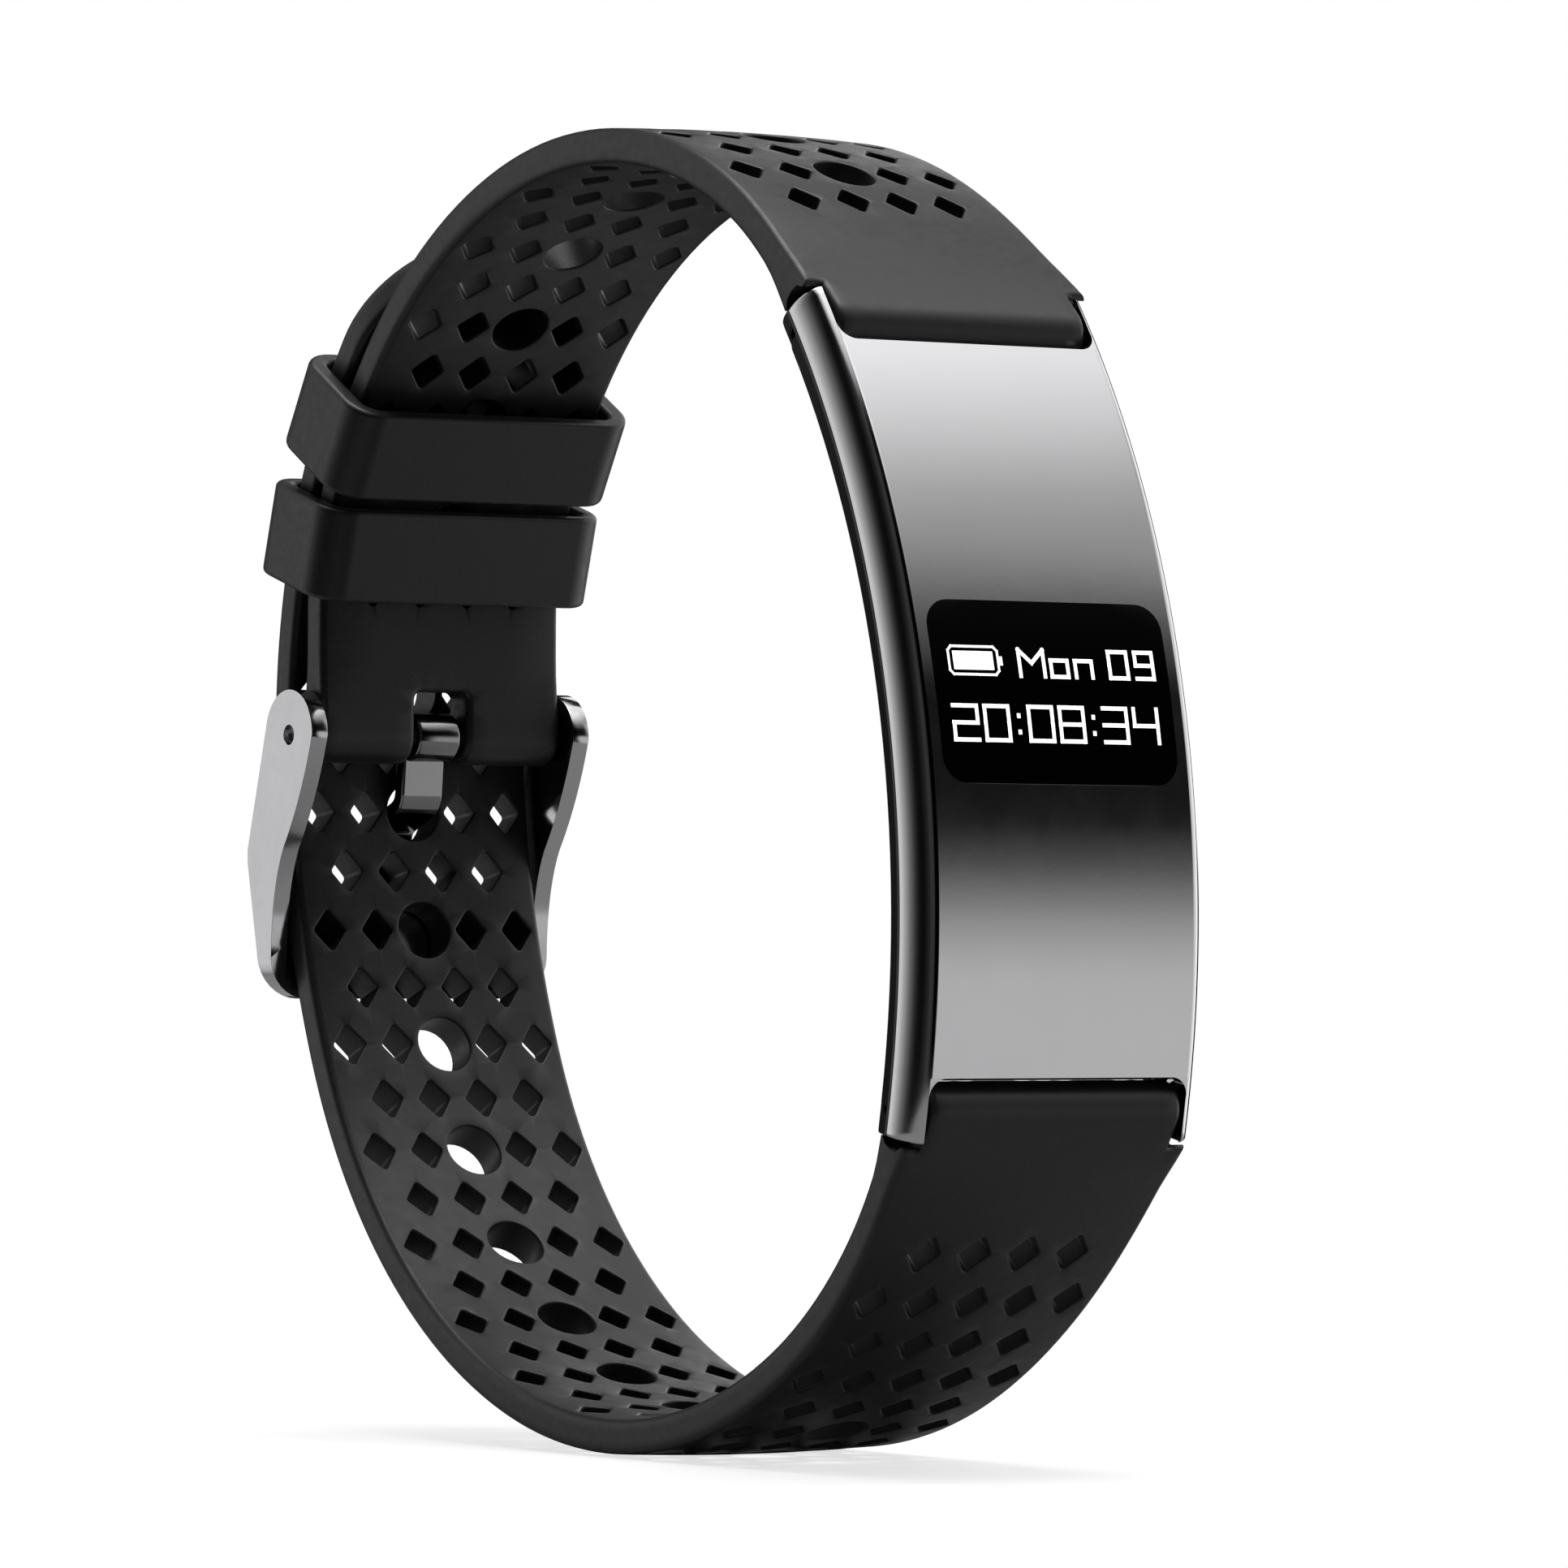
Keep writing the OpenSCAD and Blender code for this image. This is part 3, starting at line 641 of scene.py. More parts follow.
def stack(name, rings, close, place):
    """Skins same-length rings of (u, v, height), closed or capped; place maps them to row metres."""
    verts, faces = [], []
    n = len(rings[0])
    for ring in rings:
        verts += [place(*q) for q in ring]
    m = len(rings)
    for k in range(m if close else m - 1):
        a, b = k * n, ((k + 1) % m) * n
        for i in range(n):
            j = (i + 1) % n
            faces.append([a + i, a + j, b + j, b + i])
    if not close:
        faces.append(list(range(n))[::-1])
        faces.append(list(range((m - 1) * n, m * n)))
    return make(name, verts, faces, merge=0.001, smooth_deg=40)


def across(y, z, x):
    """Places a profile point at x."""
    return row(x, (y, z))


def plate(name, outline, x0, x1, r):
    """Flat plate across X with rounded edges; outline is a counter-clockwise profile loop."""
    q = quarter(r, 4)
    rings = [[(p[0], p[1], x0 + d) for p in offset_loop(outline, -o)] for o, d in q]
    rings += [[(p[0], p[1], x1 - d) for p in offset_loop(outline, -o)] for o, d in q[::-1]]
    return stack(name, rings, False, across)


# -------- keepers
# half width, length along the strap, walls over and beside the strap, corner radii and edge rounding
KEEP_HW, KEEP_L, KEEP_T, KEEP_WALL = 9.4, 5.4, 0.95, 1.15
KEEP_CR, KEEP_INNER_CR, KEEP_EDGE_R = 2.0, 0.9, 0.3
# height of the opening, and distance of its middle from the centre of the strap's arc
KEEP_GAP, KEEP_R = 6.0, 29.22


def keeper(name, a):
    """Loop round both straps at angle a of their arc."""
    n = vec(a)
    t = np.array([-n[1], n[0]])
    c = C2 + KEEP_R * n

    def place(u, x, h):
        return row(x, c + u * n + h * t)

    outer = rounded_rect(KEEP_GAP + 2 * KEEP_T, 2 * KEEP_HW, KEEP_CR)
    inner = rounded_rect(KEEP_GAP, 2 * (KEEP_HW - KEEP_WALL), KEEP_INNER_CR)
    q = quarter(KEEP_EDGE_R, 4)
    rings = []
    # along the outside from one end to the other, then back through the opening
    for loop, grow, sign in ((outer, -1, 1), (outer, -1, -1), (inner, 1, -1), (inner, 1, 1)):
        for o, d in q if grow * sign < 0 else q[::-1]:
            rings.append([(p[0], p[1], sign * (KEEP_L / 2 - d)) for p in offset_loop(loop, grow * o)])
    return stack(name, rings, True, place)


for name, a in (("upper_keeper", 30.5), ("lower_keeper", 16.8)):
    ob = keeper(name + "_loop", a)
    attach(ob, name)
    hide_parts(name)


# -------- buckle
TONGUE_W, TONGUE_T = 2.8, 0.9
EAR_HW, EAR_T, EAR_R = 9.35, 1.05, 2.6
# lower end of the frame, top of its crossbar, corner radii of its outline and of its opening
FRAME_LO, BAR_TOP = -9.95, -4.9
FRAME_CR, OPENING_CR = 2.4, 1.5
STRAP_GAP, RECESS_GAP, PIN_R, FRAME_BEVEL = 0.12, 0.25, 0.58, 0.2
# where the inner edge of the ears bends down to the frame
ELBOW = (38.15, -1.3)


def bez(a, b, c, t):
    a, b, c = np.array(a), np.array(b), np.array(c)
    return (1 - t) ** 2 * a + 2 * t * (1 - t) * b + t * t * c


def ear_outline():
    pts = [PIN + EAR_R * vec(a) for a in range(12, 181, 6)]
    pts += [bez(PIN - [EAR_R, 0], (36.1, 1.6), ELBOW, i / 12) for i in range(1, 12)]
    pts += [bez(ELBOW, (39.45, -3.6), (39.5, -7.6), i / 10) for i in range(0, 11)]
    outer_edge = ((39.6, FRAME_LO), (40.7, FRAME_LO), (41.1, -7.3), (42.2, -2.1), (42.2, -1.4))
    return pts + [np.array(q) for q in outer_edge]


def prism(name, outline, lo, hi, place):
    rings = [[(p[0], p[1], h) for p in outline] for h in (lo, hi)]
    return stack(name, rings, False, place)


# cutting tools reach well past the frame; TOOL_H is the height of the two seen from the front
TOOL_H = 40
ears = prism("buckle_body", ear_outline(), -EAR_HW, EAR_HW, across)
plan = rounded_rect(2 * EAR_HW, TOOL_H, FRAME_CR)
hollow = rounded_rect(2 * (EAR_HW - EAR_T), TOOL_H, OPENING_CR)
keep_tool = prism("keep_tool", plan, 25, 55, lambda x, z, y: row(x, (y, z + FRAME_LO + TOOL_H / 2)))
cut_tool = prism("cut_tool", hollow, 20, 60, lambda x, z, y: row(x, (y, z + BAR_TOP + TOOL_H / 2)))
# the crossbar follows the strap and is recessed for the tongue
strap_face = [B + (B_RI + STRAP_T + STRAP_GAP) * vec(a) for a in range(360)]
strap_tool = prism("strap_tool", strap_face, EAR_T - EAR_HW, EAR_HW - EAR_T, across)
recess = [(44, 0), (41.45, 0), (40.76, -9.6), (44, -9.6)]
recess_tool = prism("recess_tool", recess, -TONGUE_W / 2 - RECESS_GAP, TONGUE_W / 2 + RECESS_GAP, across)
pin_hole = [PIN + PIN_R * vec(360 * i / 32) for i in range(32)]
pin_tool = prism("pin_tool", pin_hole, -12, 12, across)


def apply_modifiers(ob):
    dg = bpy.context.evaluated_depsgraph_get()
    me = bpy.data.meshes.new_from_object(ob.evaluated_get(dg))
    ob.modifiers.clear()
    ob.data = me


def carve(ob, tools):
    """Cuts an object with the tools, which are used up, then bevels its edges."""
    for tool, op in tools:
        m = ob.modifiers.new("cut", "BOOLEAN")
        m.object, m.operation, m.solver = tool, op, "EXACT"
    apply_modifiers(ob)
    for tool, _ in tools:
        bpy.data.objects.remove(tool)
    m = ob.modifiers.new("bevel", "BEVEL")
    m.width, m.segments = FRAME_BEVEL * MM, 3
    m.limit_method, m.angle_limit = "ANGLE", 32 / DEG
    m.miter_outer = "MITER_ARC"
    apply_modifiers(ob)
    bm = bmesh.new()
    bm.from_mesh(ob.data)
    finish_bm(bm, ob.data, 35)
    weigh(ob)


cuts = [(tool, "DIFFERENCE") for tool in (cut_tool, strap_tool, recess_tool, pin_tool)]
carve(ears, [(keep_tool, "INTERSECT")] + cuts)
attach(ears, "buckle")
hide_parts("buckle_frame")

# -------- tongue
# middle line of the blade from the pin to the tip, radii of its bends and its barrel, rounding of the edges
TONGUE_PATH = [(38.4, 4.2), (38.7, 1.25), (42.0, -0.11), (41.27, -9.5)]
BEND_R, TONGUE_BARREL_R = 0.7, 1.4
BLADE_EDGE_R, BARREL_EDGE_R = 0.18, 0.2


def bend_path(pts, r, n=6):
    """Polyline with its inner corners rounded."""
    out = [np.array(pts[0])]
    for a, b, c in zip(pts, pts[1:], pts[2:]):
        a, b, c = map(np.array, (a, b, c))
        u, v = (a - b) / np.linalg.norm(a - b), (c - b) / np.linalg.norm(c - b)
        out += [bez(b + u * r, b, b + v * r, i / n) for i in range(n + 1)]
    return out + [np.array(pts[-1])]


spine = bend_path(TONGUE_PATH, BEND_R)
left, rt = [], []
for i, p in enumerate(spine):
    t = spine[min(i + 1, len(spine) - 1)] - spine[max(i - 1, 0)]
    t /= np.linalg.norm(t)
    n = np.array([t[1], -t[0]])
    left.append(p + n * TONGUE_T / 2)
    rt.append(p - n * TONGUE_T / 2)
d = spine[-1] - spine[-2]
d /= np.linalg.norm(d)
n = np.array([d[1], -d[0]])
nose_turns = [math.pi * i / 8 for i in range(1, 8)]
nose = [spine[-1] + TONGUE_T / 2 * (n * math.cos(a) + d * math.sin(a)) for a in nose_turns]
blade = plate("tongue_blade", left + nose + rt[::-1], -TONGUE_W / 2, TONGUE_W / 2, BLADE_EDGE_R)
barrel_ring = [PIN + TONGUE_BARREL_R * vec(360 * i / 48) for i in range(48)]
barrel = plate("tongue_barrel", barrel_ring, -TONGUE_W / 2, TONGUE_W / 2, BARREL_EDGE_R)
for ob in (blade, barrel):
    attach(ob, "tongue")
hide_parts("tongue")

# -------- tracker case
A_LO, A_HI = MID_A - NOTCH_SPAN / 2, MID_A + NOTCH_SPAN / 2
ROUND = BODY_HW - PLATE_HW
CASE_WALL, NOTCH_CR = 0.8, 1.0
# rails: length past the spring bar, rounding of the end, and angle they reach in beside the plate
RAIL_REACH, RAIL_END_R, RAIL_OVERLAP_A = 1.62, 0.22, 0.4
# lip of the back cover: how far above and below the cut-out's edge, its two depths, side gap, edge rounding
LIP_ABOVE, LIP_BELOW, LIP_TOP, LIP_FOOT, LIP_GAP, LIP_R = 1.2, 0.62, 2.95, 3.35, 0.15, 0.08


def on_face(x, a, depth=0.0):
    """Row point at angle a of the front face, sunk by depth."""
    return row(x, FACE_T + (FACE_R - depth) * vec(180 - a))


def bar_angle(p):
    return math.atan2(p[1] - FACE_T[1], FACE_T[0] - p[0]) * DEG


def rail_profile(x_in):
    """Quarter ellipse of one side in (x, depth), from x_in at the face round to the foot of the rail."""
    t0 = math.asin(max(0.0, min(1.0, (x_in - PLATE_HW) / ROUND)))
    ts = [t0 + (math.pi / 2 - t0) * i / 20 for i in range(21)]
    return [(PLATE_HW + ROUND * math.sin(t), RAIL_D * (1 - math.cos(t))) for t in ts]


def case_plate():
    """Front plate and rails between the end cut-outs, as one bent channel."""
    side = rail_profile(PLATE_HW)
    flat = [(x, 0.0) for x in np.linspace(-PLATE_HW, PLATE_HW, 9)]
    outer = [(-x, d) for x, d in reversed(side)][:-1] + flat + side[1:]
    hw = BODY_HW - CASE_WALL
    loop = outer + [(hw, RAIL_D), (hw, CASE_WALL), (-hw, CASE_WALL), (-hw, RAIL_D)]
    n_a = 60
    rings = [[(x, A_LO + (A_HI - A_LO) * i / n_a, dd) for x, dd in loop] for i in range(n_a + 1)]
    return stack("case_shell", rings, False, on_face)


shell = case_plate()
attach(shell, "tracker")
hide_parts("case_frame")


def rail_end(name, sign, bar, a_notch, direction):
    """End of one rail beside the cut-out, square-cut past its spring bar with a small round at the corner."""
    rc = RAIL_END_R
    contour = rail_profile(NOTCH_HW)
    a_end = bar_angle(bar) + direction * RAIL_REACH / FACE_R * DEG
    a_start = a_notch - direction * RAIL_OVERLAP_A
    a_round = a_end - direction * rc / FACE_R * DEG
    stations = [(a_start + (a_round - a_start) * i / 10, 0.0) for i in range(11)]
    stations += [
        (a_end - direction * rc * (1 - math.sin(t)) / FACE_R * DEG, rc * (1 - math.cos(t)))
        for t in [math.pi / 2 * i / 5 for i in range(1, 6)]
    ]
    rings = []
    for a, inset in stations:
        # each contour point draws in along its own normal
        loop = []
        for x, d in contour:
            nx, nd = (x - PLATE_HW) / ROUND**2, (d - RAIL_D) / RAIL_D**2
            k = inset / math.hypot(nx, nd)
            loop.append((x - nx * k, d - nd * k))
        near = NOTCH_HW + inset
        loop += [(BODY_HW - inset, RAIL_D), (near, RAIL_D), (near, loop[0][1] + 0.02)]
        rings.append([(sign * x, a, d) for x, d in loop])
    return stack(name, rings, False, on_face)


def notch_corner(name, sign, a_notch, direction):
    """Web that rounds one inner corner of an end cut-out, flush with the front plate and the rail."""
    r = NOTCH_CR
    turns = [math.pi / 2 * i / 8 for i in range(9)]
    outline = [(NOTCH_HW, 0.0)] + [(NOTCH_HW - r + r * math.sin(t), r - r * math.cos(t)) for t in turns]
    rings = []
    for d in (0.0, CASE_WALL):
        rings.append([(sign * x, a_notch + direction * v / FACE_R * DEG, d) for x, v in outline])
    return stack(name, rings, False, on_face)


for tag, bar, a_notch, direction in (("upper", BAR_UP, A_HI, 1), ("lower", BAR_LO, A_LO, -1)):
    for side, sign in (("left", -1), ("right", 1)):
        for ob in (
            rail_end(f"{tag}_rail_{side}", sign, bar, a_notch, direction),
            notch_corner(f"{tag}_corner_{side}", sign, a_notch, direction),
        ):
            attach(ob, "tracker")


def cover_lip():
    """Edge of the back cover showing under the lower cut-out, behind the strap's barrel."""
    near = A_LO + LIP_ABOVE / FACE_R * DEG
    far = A_LO - LIP_BELOW / FACE_R * DEG
    corners = [(near, LIP_TOP), (far, LIP_TOP), (far, LIP_FOOT), (near, LIP_FOOT)]
    pts = [FACE_T + (FACE_R - d) * vec(180 - a) for a, d in corners]
    # plate() takes its outline counter-clockwise
    turn = sum(p[0] * q[1] - q[0] * p[1] for p, q in zip(pts, pts[1:] + pts[:1]))
    return plate("cover_lip", pts if turn > 0 else pts[::-1], LIP_GAP - NOTCH_HW, NOTCH_HW - LIP_GAP, LIP_R)


lip = cover_lip()
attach(lip, "tracker")


# -------- display glass and its reading
WIN_HW, WIN_HH, WIN_R = 7.5, 4.9, 1.5
# height of the glass over the plate, its depth under it, and how far its side edges are sunk
GLASS_PROUD, GLASS_DEPTH, GLASS_EDGE = 0.03, 0.4, 0.025


def up_display(v):
    """Angle on the front face of a height v above the middle of the display."""
    return MID_A + v / FACE_R * DEG


def glass():
    """Bent pane with rounded corners."""
    rows, cols = 26, 12
    rings = []
    for i in range(rows + 1):
        v = -WIN_HH * math.cos(math.pi * i / rows)
        over = max(0.0, abs(v) - (WIN_HH - WIN_R))
        w = WIN_HW - WIN_R + math.sqrt(max(0.0, WIN_R**2 - over**2))
        top = []
        for j in range(cols + 1):
            sunk = GLASS_EDGE if j in (0, cols) else 0
            top.append((w * (2 * j / cols - 1), up_display(v), sunk - GLASS_PROUD))
        bottom = [(x, a, GLASS_DEPTH) for x, a, _ in reversed(top)]
        rings.append(top + bottom)
    return stack("display_glass", rings, False, on_face)


lens = glass()
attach(lens, "tracker")
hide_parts("display_lens")

STROKE, STROKE_PROUD, STROKE_SUNK = 0.215, 0.012, 0.03
# corners of a stroke's section as (side, depth)
SECTION = ((1, -STROKE_PROUD), (-1, -STROKE_PROUD), (-1, STROKE_SUNK), (1, STROKE_SUNK))


def stroke_boxes(lines, verts, faces, width=STROKE):
    """Thin raised strokes on the glass along polylines of (x, v)."""
    for line in lines:
        for (x0, v0), (x1, v1) in zip(line, line[1:]):
            length = math.hypot(x1 - x0, v1 - v0)
            ux, uv = (x1 - x0) / length, (v1 - v0) / length
            n = max(1, int(length / 0.5))
            h = width / 2
            base = len(verts)
            for i in range(n + 1):
                q = -h + (length + width) * i / n
                cx, cv = x0 + ux * q, v0 + uv * q
                for side, depth in SECTION:
                    a = up_display(cv + ux * h * side)
                    verts.append(on_face(cx - uv * h * side, a, depth - GLASS_PROUD))
            for i in range(n):
                b = base + 4 * i
                for k in range(4):
                    m = (k + 1) % 4
                    faces.append([b + k, b + m, b + 4 + m, b + 4 + k])
            faces.append([base, base + 1, base + 2, base + 3])
            faces.append([base + 4 * n + k for k in (3, 2, 1, 0)])


# strokes of the characters in a unit box: digits by their segments, letters as polylines
SEGMENTS = {
    "0": "abcdef", "2": "abged", "3": "abgcd", "4": "fgbc", "8": "abcdefg", "9": "abcdfg",
}
ENDS = {
    "a": ((0, 1), (1, 1)), "b": ((1, 1), (1, 0.5)), "c": ((1, 0.5), (1, 0)), "d": ((0, 0), (1, 0)),
    "e": ((0, 0), (0, 0.5)), "f": ((0, 0.5), (0, 1)), "g": ((0, 0.5), (1, 0.5)),
}
LETTERS = {
    "M": [[(0, 0), (0, 1), (0.5, 0.5), (1, 1), (1, 0)]],
    "o": [[(0, 0), (0, 0.62), (1, 0.62), (1, 0), (0, 0)]],
    "n": [[(0, 0), (0, 0.62), (1, 0.62), (1, 0)]],
    ":": [[(0.5, 0.24), (0.5, 0.26)], [(0.5, 0.72), (0.5, 0.74)]],
}


def glyph(ch, x, v, w, h):
    shape = [ENDS[q] for q in SEGMENTS[ch]] if ch in SEGMENTS else LETTERS[ch]
    return [[(x + w * a, v + h * b) for a, b in line] for line in shape]


# date row as (character, left edge, width), its foot and height; then the time row
DATE = (("M", -2.0, 1.55), ("o", 0.0, 1.05), ("n", 1.55, 1.05), ("0", 3.75, 1.15), ("9", 5.45, 1.1))
DATE_V, DATE_H = 0.82, 1.42
TIME, TIME_X, TIME_V, TIME_H = "20:08:34", -6.57, -2.62, 1.8
DIGIT_W, COLON_W, DIGIT_GAP = 1.48, 0.3, 0.5
# battery: lower left corner, size, cut at the corners and line width
CELL_X, CELL_V, CELL_W, CELL_H, CELL_CUT, CELL_LINE = -6.45, 0.85, 3.1, 1.5, 0.22, 0.13
# its cap: distance past the outline, inset from top and foot, width; its charge bar: end gaps and height
CAP_OUT, CAP_INSET, CAP_W = 0.17, 0.62, 0.22
CHARGE_LEFT, CHARGE_RIGHT, CHARGE_H = 0.27, 0.3, 1.0


def battery(verts, faces):
    x0, x1, v0, v1, c = CELL_X, CELL_X + CELL_W, CELL_V, CELL_V + CELL_H, CELL_CUT
    outline = [(x0 + c, v0), (x1 - c, v0), (x1, v0 + c), (x1, v1 - c), (x1 - c, v1), (x0 + c, v1),
               (x0, v1 - c), (x0, v0 + c), (x0 + c, v0)]
    stroke_boxes([outline], verts, faces, CELL_LINE)
    cap = [(x1 + CAP_OUT, v0 + CAP_INSET), (x1 + CAP_OUT, v1 - CAP_INSET)]
    stroke_boxes([cap], verts, faces, CAP_W)
    middle = v0 + CELL_H / 2
    charge = [(x0 + CHARGE_LEFT + CHARGE_H / 2, middle), (x1 - CHARGE_RIGHT - CHARGE_H / 2, middle)]
    stroke_boxes([charge], verts, faces, CHARGE_H)


def reading():
    verts, faces, lines = [], [], []
    for ch, x, w in DATE:
        lines += glyph(ch, x, DATE_V, w, DATE_H)
    x = TIME_X
    for ch in TIME:
        w = COLON_W if ch == ":" else DIGIT_W
        lines += glyph(ch, x, TIME_V, w, TIME_H)
        x += w + DIGIT_GAP
    stroke_boxes(lines, verts, faces)
    battery(verts, faces)
    return make("display_reading", verts, faces, weighted=False)


digits = reading()
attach(digits, "tracker")


# -------- materials
def map_range(tree, value, lo, hi, to_lo=0.0, to_hi=1.0):
    m = tree.nodes.new("ShaderNodeMapRange")
    for socket, v in (("From Min", lo), ("From Max", hi), ("To Min", to_lo), ("To Max", to_hi)):
        m.inputs[socket].default_value = v
    tree.links.new(value, m.inputs["Value"])
    return m.outputs["Result"]


def mix_colors(tree, share, *colors):
    """Mix of two colours, each a constant or the output of a node."""
    m = tree.nodes.new("ShaderNodeMix")
    m.data_type = "RGBA"
    tree.links.new(share, m.inputs[0])
    for socket, c in zip(m.inputs[6:8], colors):
        if isinstance(c, tuple):
            socket.default_value = c
        else:
            tree.links.new(c, socket)
    return m.outputs[2]


def material(name, color, rough, metallic=0.0, rough_var=0.0, color_var=0.0, var_scale=300.0,
             grain=0.0, grain_scale=9000.0, painted_edge_highlight=0.0, specular=0.5, sheen=0.0, emission=None):
    """Principled finish with mottled colour and roughness, fine surface grain, and a painted highlight that
    lightens sharp edges.
    """
    m = bpy.data.materials.new(name)
    m.use_nodes = True
    nt = m.node_tree
    bsdf = nt.nodes["Principled BSDF"]
    bsdf.inputs["Metallic"].default_value = metallic
    bsdf.inputs["Specular IOR Level"].default_value = specular
    bsdf.inputs["Sheen Weight"].default_value = sheen
    bsdf.inputs["Sheen Roughness"].default_value = 0.4
    coord = nt.nodes.new("ShaderNodeTexCoord").outputs["Object"]

    def noise(scale, detail):
        t = nt.nodes.new("ShaderNodeTexNoise")
        t.inputs["Scale"].default_value = scale
        t.inputs["Detail"].default_value = detail
        nt.links.new(coord, t.inputs["Vector"])
        return t.outputs["Fac"]

    def shade(k, lift=0.0):
        return (*[min(1.0, c * k + lift) for c in color], 1)

    tint = mix_colors(nt, noise(var_scale, 4), shade(1 - color_var), shade(1 + color_var))
    if painted_edge_highlight:
        # painted highlight: sharp edges such as the hole rims are lightened, picked out by pointiness
        pointed = nt.nodes.new("ShaderNodeNewGeometry").outputs["Pointiness"]
        tint = mix_colors(nt, map_range(nt, pointed, 0.52, 0.62, to_hi=painted_edge_highlight), tint, shade(2.2, 0.02))
    nt.links.new(tint, bsdf.inputs["Base Color"])
    roughness = map_range(nt, noise(var_scale * 2.3, 5), 0.3, 0.7, rough - rough_var, rough + rough_var)
    nt.links.new(roughness, bsdf.inputs["Roughness"])
    if grain:
        b = nt.nodes.new("ShaderNodeBump")
        b.inputs["Strength"].default_value = grain
        b.inputs["Distance"].default_value = 0.00002
        nt.links.new(noise(grain_scale, 2), b.inputs["Height"])
        nt.links.new(b.outputs["Normal"], bsdf.inputs["Normal"])
    if emission:
        bsdf.inputs["Emission Color"].default_value = (*emission, 1)
        bsdf.inputs["Emission Strength"].default_value = 1.0
    return m


# the silicone's lighter sharp edges are a painted highlight
silicone = material("silicone", (0.0115, 0.0115, 0.0118), 0.42, rough_var=0.04, color_var=0.12,
                    var_scale=700, grain=0.35, grain_scale=11000, painted_edge_highlight=0.25, specular=0.37, sheen=0.03)
gunmetal = material("gunmetal", (0.45, 0.45, 0.458), 0.11, metallic=1, rough_var=0.015, color_var=0.02,
                    var_scale=250, grain=0.03, grain_scale=5000)
buckle_steel = material("buckle_steel", (0.42, 0.42, 0.43), 0.13, metallic=1, rough_var=0.03, color_var=0.04,
                        var_scale=500, grain=0.05, grain_scale=6000)
tongue_steel = material("tongue_steel", (0.22, 0.22, 0.225), 0.12, metallic=1, rough_var=0.02, color_var=0.03,
                        var_scale=500, grain=0.04, grain_scale=6000)
black_glass = material("black_glass", (0.001, 0.001, 0.001), 0.06, rough_var=0.01, color_var=0.1,
                       specular=0.08)
black_gloss = material("black_gloss", (0.003, 0.003, 0.0032), 0.1, rough_var=0.02, color_var=0.15,
                       var_scale=400, specular=0.15, grain=0.02)
bright_text = material("bright_text", (0.9, 0.9, 0.9), 0.5, color_var=0.02, emission=(1, 1, 1))
steel = material("steel", (0.5, 0.5, 0.51), 0.25, metallic=1, rough_var=0.04, color_var=0.05, grain=0.05)
gold = material("gold", (0.8, 0.6, 0.28), 0.22, metallic=1, rough_var=0.04, color_var=0.05, grain=0.04)
board = material("board", (0.03, 0.16, 0.08), 0.45, rough_var=0.05, color_var=0.15, grain=0.1)
chip = material("chip", (0.02, 0.02, 0.022), 0.5, rough_var=0.05, color_var=0.1, grain=0.1)
cell = material("cell", (0.5, 0.52, 0.55), 0.35, metallic=0.6, rough_var=0.05, color_var=0.05, grain=0.08)
amber = material("amber", (0.45, 0.2, 0.05), 0.4, rough_var=0.05, color_var=0.1, grain=0.05)
cream = material("cream", (0.7, 0.66, 0.55), 0.5, rough_var=0.05, color_var=0.06, grain=0.08)
led = material("led", (0.15, 0.6, 0.2), 0.25, rough_var=0.03, color_var=0.05)

CAD_FINISH = (
    (chip, ("lens_seal", "board_chips", "body_gasket")),
    (black_glass, ("display_panel", "sensor_lens")),
    (board, ("main_board", "sensor_board")),
    (amber, ("display_flex",)),
    (cell, ("battery",)),
    (cream, ("antenna",)),
    (led, ("sensor_lights",)),
    (gold, ("charge_contacts",)),
    (black_gloss, ("back_cover",)),
    (steel, ("vibration_motor", "case_screws", "buckle_pin")),
    (steel, [f"{tag}_{part}" for tag in ("upper", "lower")
             for part in ("bar_tube", "bar_spring", "tip_left", "tip_right")]),
)
PIECE_FINISH = (
    (silicone, ("upper_strap_body", "lower_strap_body", "upper_keeper_loop", "lower_keeper_loop")),
    (buckle_steel, ("buckle_body",)),
    (tongue_steel, ("tongue_blade", "tongue_barrel")),
    (chip, ("cover_lip",)),
    (black_glass, ("display_glass",)),
    (bright_text, ("display_reading",)),
    (gunmetal, ("case_shell",)),
    (gunmetal, [f"{tag}_{part}_{side}" for tag in ("upper", "lower")
                for part in ("rail", "corner") for side in ("left", "right")]),
)


def paint_all(finishes, objects):
    for mat, names in finishes:
        for name in names:
            data = objects[name].data
            data.materials.clear()
            data.materials.append(mat)


paint_all(CAD_FINISH, frame["nodes"])
paint_all(PIECE_FINISH, bpy.data.objects)

# -------- floor
# radius in metres; the paint glows for the camera only, so the floor looks white and throws little light
FLOOR_R = 0.1
bm = bmesh.new()
bmesh.ops.create_circle(bm, cap_ends=True, segments=96, radius=FLOOR_R)
floor_mesh = bpy.data.meshes.new("floor")
bm.to_mesh(floor_mesh)
bm.free()
floor = add_object("floor", floor_mesh)
floor.location.z = cad_bounds[0][2]
paint = material("floor_paint", (0.3, 0.3, 0.3), 0.8, color_var=0.01, specular=0.1, emission=(0.72,) * 3)
seen = paint.node_tree.nodes.new("ShaderNodeLightPath").outputs["Is Camera Ray"]
paint.node_tree.links.new(seen, paint.node_tree.nodes["Principled BSDF"].inputs["Emission Strength"])
floor_mesh.materials.append(paint)

# -------- light
world = bpy.data.worlds.new("studio")
bpy.context.scene.world = world
world.use_nodes = True
wt = world.node_tree
wt.nodes.clear()


def math_node(op, a, b):
    m = wt.nodes.new("ShaderNodeMath")
    m.operation = op
    wt.links.new(a, m.inputs[0])
    wt.links.new(b, m.inputs[1])
    return m.outputs[0]


